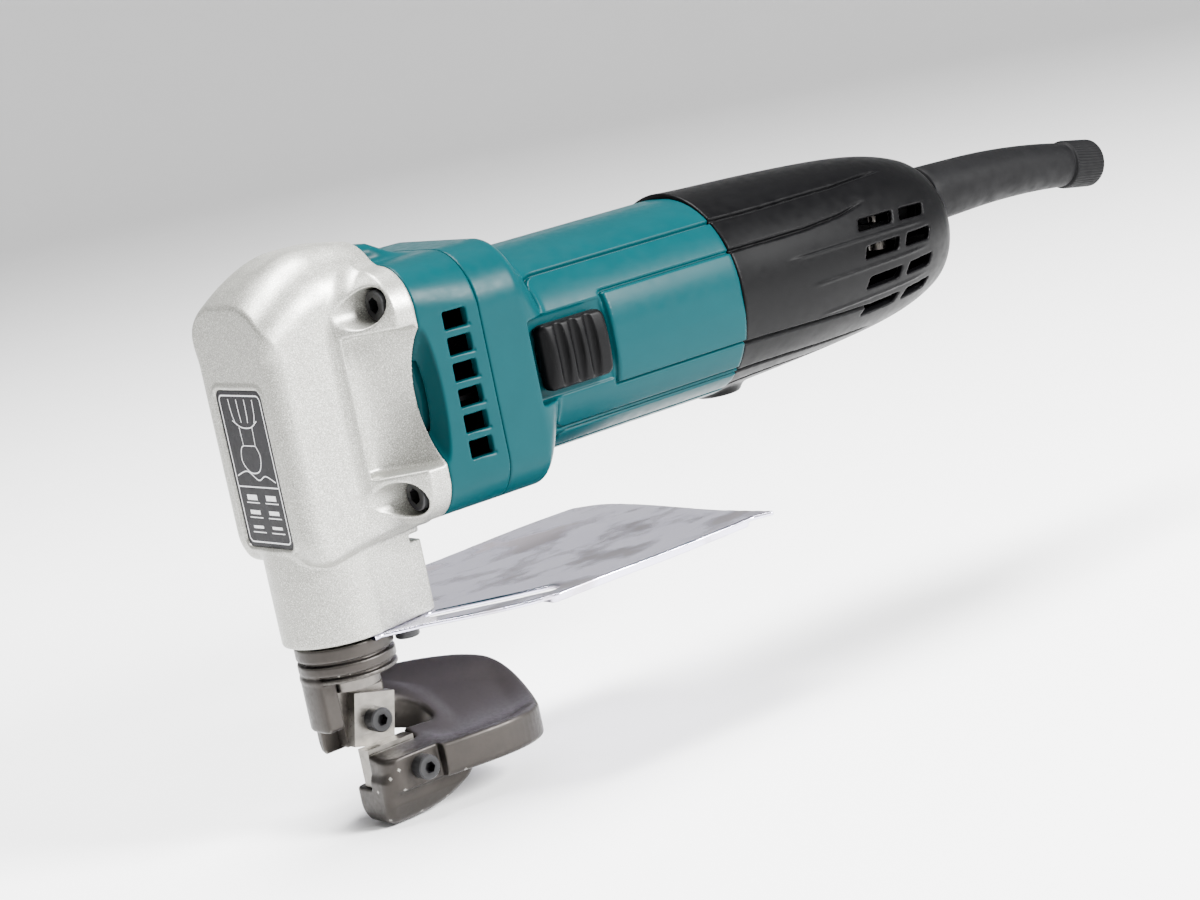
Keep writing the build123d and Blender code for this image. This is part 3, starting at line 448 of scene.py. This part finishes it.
# Grooves: stations along the cover, their angles, and how deep and wide they are
COVER_GROOVES = (
    ((130, 160, 190, 213), (46, 46.5, 49, 55), 1.15, 0.75),
    ((130, 170, 186, 197), (25.5, 26, 28.5, 33), 1.0, 0.7),
    ((130, 160, 197), (-26, -30, -35), 1.15, 0.75),
    ((130, 160, 199), (-46, -51, -60), 1.15, 0.75),
    ((130, 160, 190), (-60, -63, -72), 1.0, 0.7),
    ((158, 220), (10.5, 10.5), -0.35, 0.7),
    ((165, 220), (-7.5, -7.5), -0.35, 0.7),
    ((170, 220), (-27.5, -27.5), -0.35, 0.7),
)
INLET_ROWS = (19.0, 1.5, -18.0, -37.5)
INLET_X = ((191, 206), (209.5, 221))
INLET_HALF = 1.9


def bullet(x, y, z, inset):
    fit = np.polyfit(COVER_X, COVER_R, 5)
    radius = np.polyval(fit, np.clip(x, COVER_X[0], COVER_X[-1]))
    wall = (np.hypot(y, z - COVER_AXIS_Z) - radius + inset) * 0.97
    return meet(wall, x - REAR_X + inset, 10.5 - inset)


def rear_cover(x, y, z):
    body = bullet(x, y, z, 0.0)
    angle = side_angle(y, z)
    relief = 0.0
    for stations, angles, depth, width in COVER_GROOVES:
        lateral = (angle - np.interp(x, stations, angles)) * DEGREE * 0.95
        fade = smooth(stations[0], stations[0] + 8, x) if stations[0] > SEAM_X else 1.0
        fade = fade * smooth(stations[-1] + 2, stations[-1] - 9, x)
        relief = relief + channel(lateral, depth, width) * fade
    body = body + relief
    body = cut(body, bullet(x, y, z, 2.3))
    side_y = np.abs(y)
    for row in INLET_ROWS:
        turn = radians(row)
        along = side_y * cos(turn) + (z - MOTOR_Z) * sin(turn)
        across = (z - MOTOR_Z) * cos(turn) - side_y * sin(turn)
        for x0, x1 in INLET_X:
            lean = x - 0.45 * across
            slot = panel(lean, across, x0, x1, -INLET_HALF, INLET_HALF, 0.7)
            body = cut(body, meet(slot, 17 - along), 0.3)
    seat = meet(rod(y, z, 0, GUARD_Z, 11.5), span(x, 230, REAR_X - 2))
    body = join(body, meet(seat, bullet(x, y, z, 0.5)))
    body = cut(body, meet(rod(y, z, 0, GUARD_Z, 7.2), 225 - x), 0.5)
    foot = meet(rod(x, y, FOOT_X, 0, 7.0), span(z, MOTOR_Z - 31.9, MOTOR_Z - 25.6), 1.0)
    body = join(body, foot, 2.5)
    body = meet(body, SEAM_X - x, 0.35)
    body = cut(body, rod(x, y, FOOT_X, 0, 2.2) + np.maximum(z - MOTOR_Z, 0))
    head = meet(rod(x, y, FOOT_X, 0, 3.8), z - MOTOR_Z + 29)
    return cut(body, head, 0.3)


# ---------------------------------------------------------------- switch knob
def switch_knob(x, y, z):
    (x0, y0, z0), (x1, _, z1) = knob_low, knob_high
    crown = y0 + 0.013 * (z - MOTOR_Z) ** 2
    pad = meet(panel(x, z, x0, x1, z0, z1, 2.2), meet(crown - y, y - y0 - 5.2), 1.2)
    length = x1 - x0
    for share in (0.27, 0.5, 0.73):
        groove = rod(x, y, x0 + share * length, y0 - 0.4, 1.9)
        pad = cut(pad, groove, 0.3)
    ramp = (x0 + 2.6 - x) * 0.7 + (y0 + 0.2 - y) * 0.7
    pad = meet(pad, ramp, 0.8)
    stem = brick(x, y, z, (71, 79.8), (y0 + 4.8, y0 + 7.5), (MOTOR_Z - 3, MOTOR_Z + 3))
    return join(pad, stem)


# ---------------------------------------------------------------- yoke
def arm_plan(x, y):
    """The arm seen from above: round dish behind, throat and blade seat in front."""
    outer = curve([(-3.4, -9), (-2.9, -12), (-0.8, -14.3), (3, -15.6), (12, -17.4),
                   (22, -19.8), (32, -21.2), (41, -20), (48.5, -15.6), (53, -8.5),
                   (55.2, -1.0), (54.8, 5.0), (51.6, 9.6), (45, 12.6), (36, 15), (26, 17),
                   (16, 18.4), (6, 18.6), (-6, 15.5)], 4)
    throat = curve([(13.5, 8.6), (18.6, 6.9), (22.2, 3.6), (22.8, 0.0), (21, -1.0)], 5)
    inner = [(-8, 8.6)] + throat + [(12.6, -0.4), (12.6, -5.05), (-3.4, -5.05)]
    return outline(x, y, outer + inner)


def arm_height(y):
    """Top and bottom of the arm across it, rising to the far side."""
    across = (-25, -17, -10, -4, 1, 5, 9, 15, 23)
    top = (-25.6, -26.3, -26.0, -24.6, -21.9, -18.6, -14.8, -10.4, -7.5)
    bottom = (-36, -36.1, -35.8, -34.4, -32.2, -28.6, -24.6, -20.6, -18)
    top_fit = np.polyfit(across, top, 5)
    bottom_fit = np.polyfit(across, bottom, 5)
    y = np.clip(y, across[0], across[-1])
    return COLLAR_Z + np.polyval(top_fit, y), COLLAR_Z + np.polyval(bottom_fit, y)


def yoke(x, y, z):
    c = COLLAR_Z
    radius = np.hypot(x, y)
    collar = meet(radius - COLLAR_R, span(z, c - 2.1, NECK_Z - 1), 0.5)
    for groove_z in (c - 0.35, c + 3.5):
        notch = meet(span(z, groove_z - 0.5, groove_z + 0.5), 12.4 - radius)
        collar = cut(collar, notch, 0.45)
    stem = meet(radius - STEM_R, span(z, NECK_Z - 2, c + 41), 0.5)

    ring = meet(radius - COLLAR_R, YOKE_BORE_R - radius)
    web = meet(ring, brick(x, y, z, (-8, 16), (8.6, 20), (c - 24, c)), 0.8)
    buttress = meet(radius - 17.5, brick(x, y, z, (2, 16), (8.6, 14.5), (c - 20, c - 2.1)), 0.8)
    finger = meet(ring, brick(x, y, z, (-14, -7.6), (-5, 9.5), (c - 16, c), 1.2), 0.6)

    plan = arm_plan(x, y)
    top, bottom = arm_height(y)
    hollow = 1.3 * smooth(-1.5, -8.0, plan) * smooth(14, 24, x)
    arm = meet(plan, np.maximum(z - top + hollow, bottom - z) * 0.85, 1.3)

    side = curve([(-4.2, c - 33), (-4.4, c - 39), (-3.9, c - 43.5), (-1.5, c - 46.2),
                  (2.5, c - 46.5), (7, c - 46.3), (14, c - 45.4), (20, c - 43.0),
                  (25.5, c - 38.6), (29, c - 33)], 4)
    keel = outline(x, z, side + [(20, c - 28), (0, c - 28)])
    across = outline(y, z, [(-13.2, c - 30), (-12.4, c - 40), (-9.0, 0), (2.0, 0),
                            (3.6, c - 41), (3.8, c - 30)])
    keel = meet(keel, across, 2.4)
    seat = brick(x, y, z, (-10, 12.6), (-5.05, 5), (c - 35.25, c - 24))
    keel = cut(keel, seat, 0.4)
    keel = cut(keel, brick(x, y, z, (12, 40), (-1.0, 10), (c - 33.5, c - 20)), 0.8)

    body = join(join(arm, keel, 1.6), join(web, buttress, 1.5), 2.0)
    body = join(body, finger)
    body = join(join(body, collar, 0.6), stem)
    bore = meet(radius - YOKE_BORE_R, span(z, c - 16, c + 60))
    body = cut(body, bore, 0.4)
    flat = brick(x, y, z, (-9, 13.6), (-40, bolt_low[1] + 4.0), (1.0, c - 20), 0.6)
    body = cut(body, flat, 0.5)
    hole = meet(rod(x, z, 7.5, c - 31, 2.0), y)
    return cut(body, hole, 0.3)


# ---------------------------------------------------------------- guide plate
PLATE_BEND = 1.1  # how far the plate's rear end curves up
PLATE_THICK, HEM_THICK = 1.3, 1.5
SLOT_X, SLOT_Y, SLOT_TURN = 35.0, 24.2, radians(33.5)


def guide_plate(x, y, z):
    edge = curve([(14, -22.0), (31, -34.5), (44, -40.2), (54, -41.2), (118, -41.4)], 5)
    rear = curve([(124, -44), (122.3, -30), (121.6, -18), (122.4, 2), (122.4, 22),
                  (120, 34), (114, 41.2)], 5)
    far = curve([(114, 41.2), (54, 41.2), (44, 40.2), (31, 34.5), (14, 22), (3, 16.0)], 5)
    plan = outline(x, y, [(3, -16.0)] + edge + rear + far[1:])
    plan = np.minimum(plan, rod(x, y, 0, 0, NECK_R))
    side_y = np.abs(y)
    along = (x - SLOT_X) * cos(SLOT_TURN) + (side_y - SLOT_Y) * sin(SLOT_TURN)
    across = (side_y - SLOT_Y) * cos(SLOT_TURN) - (x - SLOT_X) * sin(SLOT_TURN)
    slot = panel(along, across, -19, 19, -3, 3, 3.0)
    hem = panel(x, side_y, 44, 117, 33.8, 41.2, 2.0)
    ripple = 0.35 * np.sin(x * 0.075 + 0.6) * np.sin(y * 0.06) * smooth(30, 70, x)
    lift = PLATE_BEND * smooth(40, 125, x) + ripple
    top = NECK_Z - 0.05 + lift
    plate = meet(plan, np.maximum(z - top, top - PLATE_THICK - z), 0.3)
    fold = meet(meet(hem, plan + 0.1), np.maximum(z - top + 1.0, top - 1.0 - HEM_THICK - z), 0.3)
    body = join(plate, fold)
    body = cut(body, slot, 0.3)
    body = cut(body, rod(x, y, 0, 0, COLLAR_R + 0.2))
    screw_x = (plate_screws_low[0] + plate_screws_high[0]) / 2
    return cut(body, rod(x, side_y, screw_x, plate_screws_high[1] - 3.5, 2.0))


# ---------------------------------------------------------------- cord guard
GUARD_START_X, GUARD_BEND_X = 234.0, 262.0
GUARD_BEND_R, GUARD_BEND = 300.0, radians(9.0)
GUARD_TAIL = 13.5
GUARD_BORE = 4.1
GUARD_NECK_R, GUARD_ROOT_R, GUARD_TAPER = 6.9, 9.4, 2.1
GUARD_LENGTH = GUARD_BEND_X - GUARD_START_X + GUARD_BEND_R * GUARD_BEND + GUARD_TAIL


def guard_station(along):
    """Centre and slope of the guard's axis at a length from its start."""
    level = GUARD_BEND_X - GUARD_START_X
    if along <= level:
        return GUARD_START_X + along, GUARD_Z, 0.0
    angle = min((along - level) / GUARD_BEND_R, GUARD_BEND)
    rest = max(0.0, along - level - GUARD_BEND_R * GUARD_BEND)
    x = GUARD_BEND_X + GUARD_BEND_R * sin(angle) + rest * cos(angle)
    return x, GUARD_Z - GUARD_BEND_R * (1 - cos(angle)) - rest * sin(angle), angle


def guard_profile():
    """(length along the axis, radius, share of the ribs) from the root round to the bore."""
    collar = GUARD_LENGTH - GUARD_TAIL
    wall_out = REAR_X - GUARD_START_X
    line = [(-8.0, GUARD_NECK_R, 0), (wall_out - 0.4, GUARD_NECK_R, 0)]
    line += [(wall_out + 0.2, GUARD_NECK_R, 0), (wall_out + 0.3, GUARD_ROOT_R - 0.2, 0)]
    start = wall_out + 0.6
    for step in range(25):
        share = step / 24
        radius = GUARD_ROOT_R - GUARD_TAPER * share**1.15
        line.append((start + (collar - 0.8 - start) * share, radius, 0))
    line += [(collar - 0.4, 7.1, 0), (collar, 7.1, 0), (collar + 0.1, 7.6, 0)]
    line += [(collar + 0.5, 7.9, 0), (collar + 1.0, 8.0, 1)]
    line += [(GUARD_LENGTH - 1.6, 7.9, 1), (GUARD_LENGTH - 1.0, 7.8, 0)]
    line += [(GUARD_LENGTH - 0.3, 7.4, 0), (GUARD_LENGTH, 6.8, 0), (GUARD_LENGTH, 4.6, 0)]
    return line + [(GUARD_LENGTH - 0.4, GUARD_BORE, 0), (-8.0, GUARD_BORE, 0)]


def cord_guard():
    around, ribs = 288, 48
    turn = np.arange(around) * 2 * pi / around
    rings = []
    for along, radius, ribbed in guard_profile():
        x, z, slope = guard_station(along)
        reach = radius - ribbed * 0.35 * (0.5 + 0.5 * np.cos(turn * ribs)) ** 2
        up = reach * np.sin(turn)
        rings.append(np.stack([x + up * sin(slope), reach * np.cos(turn), z + up * cos(slope)], 1))
    points = np.concatenate(rings)
    count = len(rings)
    ring, spoke = np.meshgrid(np.arange(count), np.arange(around), indexing="ij")
    after, beside = (ring + 1) % count, (spoke + 1) % around
    faces = np.stack([ring * around + spoke, ring * around + beside,
                      after * around + beside, after * around + spoke], -1)
    return mesh_object("cord_guard_rubber", points, faces.reshape(-1, 4))


# ---------------------------------------------------------------- label artwork
def ribbon(points, width=0.32, closed=False):
    """Flat strip along a (y, z) line, as quads."""
    line = np.array(points, float)
    before = np.roll(line, 1, 0) if closed else np.vstack([2 * line[0] - line[1], line[:-1]])
    after = np.roll(line, -1, 0) if closed else np.vstack([line[1:], 2 * line[-1] - line[-2]])
    run = after - before
    run /= np.linalg.norm(run, axis=1)[:, None]
    normal = np.stack([-run[:, 1], run[:, 0]], 1) * width / 2
    rows = np.stack([line + normal, line - normal], 1)
    if closed:
        rows = np.vstack([rows, rows[:1]])
    return np.stack([rows[:-1, 0], rows[1:, 0], rows[1:, 1], rows[:-1, 1]], 1)


def rounded_frame(half_y, low, high, corner):
    line = []
    centres = ((half_y - corner, high - corner), (corner - half_y, high - corner),
               (corner - half_y, low + corner), (half_y - corner, low + corner))
    for quarter, (y, z) in enumerate(centres):
        for step in range(7):
            turn = (quarter + step / 6) * pi / 2
            line.append((y + corner * cos(turn), z + corner * sin(turn)))
    return line


def label_print():
    """White frame, a plain drawing of a shear on a sheet and rows of blank blocks."""
    low, high = label_low[2] + 1.3, label_high[2] - 1.3
    middle = low + 0.38 * (high - low)
    half = label_high[1] - 1.3
    strips = [ribbon(rounded_frame(half, low, high, 1.6), 0.4, closed=True)]
    strips.append(ribbon([(-half, middle), (half, middle)], 0.35))
    for y in (-6.6, -2.4, 1.8, 6.0):
        handle = curve([(y, high - 1.0), (y * 0.94, high - 5), (y * 0.8, high - 7.5)])
        strips.append(ribbon(handle))
    shoulder = curve([(-6.6, high - 7), (-3, high - 8.8), (2, high - 8.8), (6.0, high - 7)])
    neck = [(-3.6, high - 8.8), (-3.2, high - 14), (3.0, high - 14), (3.2, high - 8.8)]
    jaw = curve([(-3.2, high - 14), (-4.6, high - 17), (-2.6, high - 21), (2.2, high - 21.5),
                 (5.4, high - 18.5), (4.6, high - 15), (3, high - 14)])
    sheet = curve([(-half + 1, middle + 1.6), (-5, middle + 3.2), (-1, middle + 2.0),
                   (4, middle + 4.4), (half - 1, middle + 3.0)])
    strips += [ribbon(line) for line in (shoulder, neck, jaw, sheet)]
    for column in (-5.2, 4.6):
        for row in range(3):
            z = middle - 3.0 - 4.2 * row
            strips.append(ribbon([(column - 2.6, z), (column + 2.6, z)], 1.5 - 0.35 * row))
            strips.append(ribbon([(column - 3.4, z - 1.5), (column + 3.4, z - 1.5)], 0.3))
    quads = np.concatenate(strips)
    flat = quads.reshape(-1, 2)
    face_x = label_low[0] - 0.015
    points = np.stack([np.full(len(flat), face_x), flat[:, 0], flat[:, 1]], 1)
    return mesh_object("label_print", points, np.arange(len(flat)).reshape(-1, 4))


# ---------------------------------------------------------------- materials
def node(tree, kind, inputs=None, **settings):
    made = tree.nodes.new(kind)
    for name, value in settings.items():
        setattr(made, name, value)
    for name, value in (inputs or {}).items():
        if isinstance(value, bpy.types.NodeSocket):
            tree.links.new(value, made.inputs[name])
        else:
            made.inputs[name].default_value = value
    return made


class Finish:
    """A Principled material with its texture in the object's own coordinates."""

    def __init__(self, name, color, roughness, metallic=0.0, specular=0.5):
        self.material = bpy.data.materials.new(name)
        self.material.use_nodes = True
        self.tree = self.material.node_tree
        self.shader = self.tree.nodes["Principled BSDF"]
        self.place = node(self.tree, "ShaderNodeTexCoord").outputs["Object"]
        self.color = (*color, 1.0)
        self.shader.inputs["Base Color"].default_value = self.color
        self.shader.inputs["Roughness"].default_value = roughness
        self.shader.inputs["Metallic"].default_value = metallic
        self.shader.inputs["Specular IOR Level"].default_value = specular
        self.normal = None

    def noise(self, size_mm, detail=2.0, stretch=(1, 1, 1)):
        place = node(self.tree, "ShaderNodeMapping", {"Vector": self.place, "Scale": stretch})
        inputs = {"Vector": place.outputs["Vector"], "Scale": 1 / (size_mm * MM),
                  "Detail": detail}
        return node(self.tree, "ShaderNodeTexNoise", inputs).outputs["Fac"]

    def spread(self, value, low, high, to_low=0.0, to_high=1.0):
        inputs = {"Value": value, "From Min": low, "From Max": high,
                  "To Min": to_low, "To Max": to_high}
        return node(self.tree, "ShaderNodeMapRange", inputs).outputs["Result"]

    def tint(self, share, color):
        """Mixes another colour over what is there."""
        mix = node(self.tree, "ShaderNodeMix", data_type="RGBA")
        self.tree.links.new(share, mix.inputs[0])
        if isinstance(self.color, bpy.types.NodeSocket):
            self.tree.links.new(self.color, mix.inputs[6])
        else:
            mix.inputs[6].default_value = self.color
        mix.inputs[7].default_value = (*color, 1.0)
        self.color = mix.outputs[2]
        self.tree.links.new(self.color, self.shader.inputs["Base Color"])
        return self

    def rough(self, value):
        self.tree.links.new(value, self.shader.inputs["Roughness"])
        return self

    def bump(self, height, distance_mm, strength=1.0):
        inputs = {"Height": height, "Distance": distance_mm * MM, "Strength": strength}
        if self.normal is not None:
            inputs["Normal"] = self.normal
        self.normal = node(self.tree, "ShaderNodeBump", inputs).outputs["Normal"]
        self.tree.links.new(self.normal, self.shader.inputs["Normal"])
        return self

    def edges(self, low=0.52, high=0.6):
        """1 on sharp convex edges, where the finishes paint their highlights."""
        sharp = node(self.tree, "ShaderNodeNewGeometry").outputs["Pointiness"]
        return self.spread(sharp, low, high)


def silver_paint():
    paint = Finish("silver_paint_look", (0.30, 0.298, 0.272), 0.38, 0.6)
    fleck = paint.noise(0.30, 1.0)
    paint.tint(paint.spread(fleck, 0.56, 0.72), (0.60, 0.60, 0.56))
    paint.tint(paint.spread(fleck, 0.44, 0.30), (0.17, 0.17, 0.155))
    paint.rough(paint.spread(paint.noise(6.0, 4.0), 0.3, 0.7, 0.34, 0.46))
    paint.bump(fleck, 0.03, 0.5)
    return paint.bump(paint.noise(2.4, 3.0), 0.03, 0.25)


def moulded(name, color, light, roughness, grain_mm=0.28):
    plastic = Finish(name, color, roughness, specular=0.07)
    plastic.tint(plastic.spread(plastic.noise(9.0, 3.0), 0.35, 0.75, 0.0, 0.3), light)
    # Painted highlight: sharp convex edges are lightened toward the lighter colour.
    plastic.tint(plastic.edges(0.53, 0.62), light)
    wear = plastic.noise(3.0, 4.0)
    plastic.rough(plastic.spread(wear, 0.3, 0.7, roughness - 0.05, roughness + 0.06))
    plastic.bump(plastic.noise(grain_mm, 2.0), 0.02, 0.3)
    return plastic


def metal(name, color, dark, roughness, scratch_mm=0.5, stretch=(1, 1, 1), depth=0.01):
    steel = Finish(name, color, roughness, 1.0)
    steel.tint(steel.spread(steel.noise(3.5, 5.0), 0.4, 0.75), dark)
    lines = steel.noise(scratch_mm, 3.0, stretch)
    steel.rough(steel.spread(lines, 0.3, 0.7, roughness - 0.08, roughness + 0.1))
    return steel.bump(lines, depth, 0.5)


def yoke_steel():
    steel = Finish("yoke_steel_look", (0.030, 0.026, 0.023), 0.42, 0.75)
    steel.tint(steel.spread(steel.noise(5.0, 5.0), 0.42, 0.75, 0.0, 0.5), (0.022, 0.020, 0.018))
    # Painted highlight: sharp convex edges lightened to a pale grey.
    steel.tint(steel.edges(0.53, 0.61), (0.24, 0.23, 0.21))
    steel.rough(steel.spread(steel.noise(1.2, 5.0), 0.3, 0.7, 0.34, 0.52))
    steel.bump(steel.noise(0.5, 4.0), 0.03, 0.4)
    return steel.bump(steel.noise(6.0, 2.0), 0.1, 0.3)


def mirror_steel():
    steel = Finish("mirror_steel_look", (0.70, 0.68, 0.84), 0.13, 1.0)
    smudge = steel.noise(14.0, 6.0, (0.6, 1.0, 1.0))
    steel.tint(steel.spread(smudge, 0.50, 0.62), (0.46, 0.42, 0.46))
    steel.rough(steel.spread(smudge, 0.46, 0.60, 0.10, 0.40))
    wrinkle = steel.noise(22.0, 3.0, (1.0, 2.0, 1.0))
    return steel.bump(wrinkle, 0.6, 0.25)


def black_oxide():
    steel = Finish("black_oxide_look", (0.004, 0.004, 0.0045), 0.34, 0.2, 0.22)
    # Painted highlight: sharp convex edges lightened.
    steel.tint(steel.edges(0.53, 0.62), (0.03, 0.03, 0.031))
    steel.rough(steel.spread(steel.noise(0.8, 4.0), 0.3, 0.7, 0.27, 0.45))
    return steel.bump(steel.noise(0.25, 3.0), 0.01, 0.4)


def rubber():
    skin = Finish("rubber_look", (0.0014, 0.0014, 0.0017), 0.55, specular=0.09)
    skin.tint(skin.spread(skin.noise(12.0, 4.0), 0.45, 0.75, 0.0, 0.5), (0.003, 0.003, 0.0034))
    skin.rough(skin.spread(skin.noise(4.0, 4.0), 0.3, 0.7, 0.5, 0.72))
    return skin.bump(skin.noise(0.3, 3.0), 0.03, 0.5)


def label_foil():
    foil = Finish("label_look", (0.004, 0.0036, 0.005), 0.40, specular=0.10)
    foil.tint(foil.spread(foil.noise(5.0, 4.0), 0.4, 0.75), (0.008, 0.0075, 0.010))
    foil.rough(foil.spread(foil.noise(1.5, 4.0), 0.3, 0.7, 0.25, 0.42))
    return foil.bump(foil.noise(0.4, 2.0), 0.01, 0.3)


def print_ink():
    ink = Finish("print_ink_look", (0.72, 0.72, 0.73), 0.4)
    ink.tint(ink.spread(ink.noise(0.8, 3.0), 0.45, 0.8), (0.5, 0.5, 0.52))
    return ink.bump(ink.noise(0.3, 2.0), 0.005, 0.3)


# Each lighter colour serves a random mottle and the painted highlight on convex edges.
TEAL, TEAL_MOTTLE_AND_EDGE_HIGHLIGHT = (0.0, 0.027, 0.032), (0.0, 0.033, 0.039)
BLACK, BLACK_MOTTLE_AND_EDGE_HIGHLIGHT = (0.0008, 0.0008, 0.0010), (0.0016, 0.0016, 0.0019)
FINISHES = {
    "silver_paint": silver_paint(),
    "teal_plastic": moulded("teal_plastic_look", TEAL, TEAL_MOTTLE_AND_EDGE_HIGHLIGHT, 0.34),
    "black_plastic": moulded("black_plastic_look", BLACK, BLACK_MOTTLE_AND_EDGE_HIGHLIGHT, 0.42, 0.35),
    "rubber": rubber(),
    "label": label_foil(),
    "black_oxide": black_oxide(),
    "yoke_steel": yoke_steel(),
    "bronze": metal("bronze_look", (0.55, 0.36, 0.16), (0.35, 0.22, 0.1), 0.35),
    "machined_steel": metal("machined_steel_look", (0.13, 0.12, 0.11), (0.08, 0.075, 0.07), 0.34,
                            0.6, (1, 1, 6)),
    "blade_steel": metal("blade_steel_look", (0.17, 0.16, 0.145), (0.11, 0.105, 0.095), 0.34,
                         0.5, (0.15, 1, 1)),
    "mirror_steel": mirror_steel(),
    "bearing_steel": metal("bearing_steel_look", (0.65, 0.65, 0.66), (0.5, 0.5, 0.51), 0.16),
    "lamination_steel": metal("lamination_look", (0.25, 0.25, 0.26), (0.14, 0.14, 0.15), 0.45,
                              0.5, (6, 1, 1)),
    "copper": metal("copper_look", (0.70, 0.33, 0.16), (0.45, 0.18, 0.08), 0.32, 0.6),
    "carbon": metal("carbon_look", (0.03, 0.03, 0.032), (0.015, 0.015, 0.016), 0.6),
}


# ---------------------------------------------------------------- putting it together
def place(piece, node_name, body, slot):
    piece.data.materials.append(FINISHES[slot].material)
    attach(piece, body)
    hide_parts(node_name)


def build_solids():
    """Implicit pieces: field, node, body, slot, lowest and highest corner, cell."""
    head_cell, shell_cell = (0.42,) * 3, (0.55, 0.37, 0.37)
    knob_cell, yoke_cell, plate_cell = (0.3,) * 3, (0.38,) * 3, (0.6, 0.6, 0.28)
    rows = (
        (gear_housing, "gear_housing", "root", "silver_paint",
         (-17, -35.5, NECK_Z), (JOINT_X, 35.5, HEAD_TOP_Z), head_cell),
        (gear_housing_cover, "gear_housing_cover", "root", "teal_plastic",
         cover_low, cover_high, head_cell),
        (motor_housing, "motor_housing", "root", "teal_plastic",
         (RING_X, -35.5, MOTOR_Z - 35), (154.5, 35.5, MOTOR_Z + 37), shell_cell),
        (rear_cover, "rear_cover", "root", "black_plastic",
         (SEAM_X, -31.5, MOTOR_Z - 33), (REAR_X, 31.5, MOTOR_Z + 33), shell_cell),
        (switch_knob, "switch_knob", "switch", "black_plastic", knob_low, knob_high, knob_cell),
        (yoke, "yoke", "root", "yoke_steel",
         (-14.5, -23, 0), (56, 20.5, COLLAR_Z + 41.5), yoke_cell),
        (guide_plate, "guide_plate", "root", "mirror_steel",
         (2, -45, NECK_Z - 3), (126, 42, NECK_Z + 3), plate_cell),
    )
    for shape, node_name, body, slot, low, high, cell in rows:
        piece = solid(node_name + "_detail", shape, low, high, cell)
        place(piece, node_name, body, slot)


def finish_cad_nodes():
    for cad_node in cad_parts.values():
        for held in cad_node.material_slots:
            held.material = FINISHES[held.material.name].material


finish_cad_nodes()
build_solids()
place(cord_guard(), "cord_guard", "root", "rubber")
artwork = label_print()
artwork.data.materials.append(print_ink().material)
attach(artwork, "root")


# ---------------------------------------------------------------- studio
FLOOR_R, SWEEP_R = 2.4, 1.4
AIM = (0.1, 0.0, 0.1)  # the lights point at the middle of the tool
SPOKES = 96


def add_stage():
    """Pale round floor that sweeps up into a wall all round."""
    profile = [(0.01, 0.0), (0.8, 0.0), (1.6, 0.0), (FLOOR_R, 0.0)]
    for step in range(1, 17):
        turn = step / 16 * pi / 2
        profile.append((FLOOR_R + SWEEP_R * sin(turn), SWEEP_R * (1 - cos(turn))))
    rings = [[(radius * cos(2 * pi * k / SPOKES), radius * sin(2 * pi * k / SPOKES), height)
              for k in range(SPOKES)] for radius, height in profile]
    points = np.array(rings).reshape(-1, 3)
    ring, spoke = np.meshgrid(np.arange(len(rings) - 1), np.arange(SPOKES), indexing="ij")
    beside = (spoke + 1) % SPOKES
    faces = np.stack([ring * SPOKES + spoke, (ring + 1) * SPOKES + spoke,
                      (ring + 1) * SPOKES + beside, ring * SPOKES + beside], -1).reshape(-1, 4)
    floor = mesh_object("floor", points / MM, faces)
    middle = bpy.data.meshes.new("floor_middle")
    middle.from_pydata([tuple(p) for p in rings[0]], [], [tuple(range(SPOKES))])
    plug = bpy.data.objects.new("floor_middle", middle)
    bpy.context.scene.collection.objects.link(plug)
    paper = Finish("floor_look", (0.95, 0.95, 0.95), 0.8, specular=0.1)
    paper.tint(paper.spread(paper.noise(60.0, 3.0), 0.4, 0.8), (0.94, 0.94, 0.94))
    for part in (floor, plug):
        part.data.materials.append(paper.material)


def add_light(name, place_at, target, width, height, power):
    light = bpy.data.objects.new(name, bpy.data.lights.new(name, "AREA"))
    light.data.shape = "RECTANGLE"
    light.data.size, light.data.size_y = width, height
    light.data.energy = power
    light.location = place_at
    light.rotation_euler = (Vector(target) - Vector(place_at)).to_track_quat("-Z", "Y").to_euler()
    bpy.context.scene.collection.objects.link(light)


def add_world():
    world = bpy.data.worlds.new("studio")
    world.use_nodes = True
    world.node_tree.nodes["Background"].inputs["Color"].default_value = (1, 1, 1, 1)
    world.node_tree.nodes["Background"].inputs["Strength"].default_value = 0.36
    bpy.context.scene.world = world


add_stage()
add_world()
add_light("key", (0.65, -1.10, 0.72), AIM, 0.45, 0.45, 96)
add_light("top", (0.05, 0.1, 1.35), AIM, 0.9, 0.5, 82)
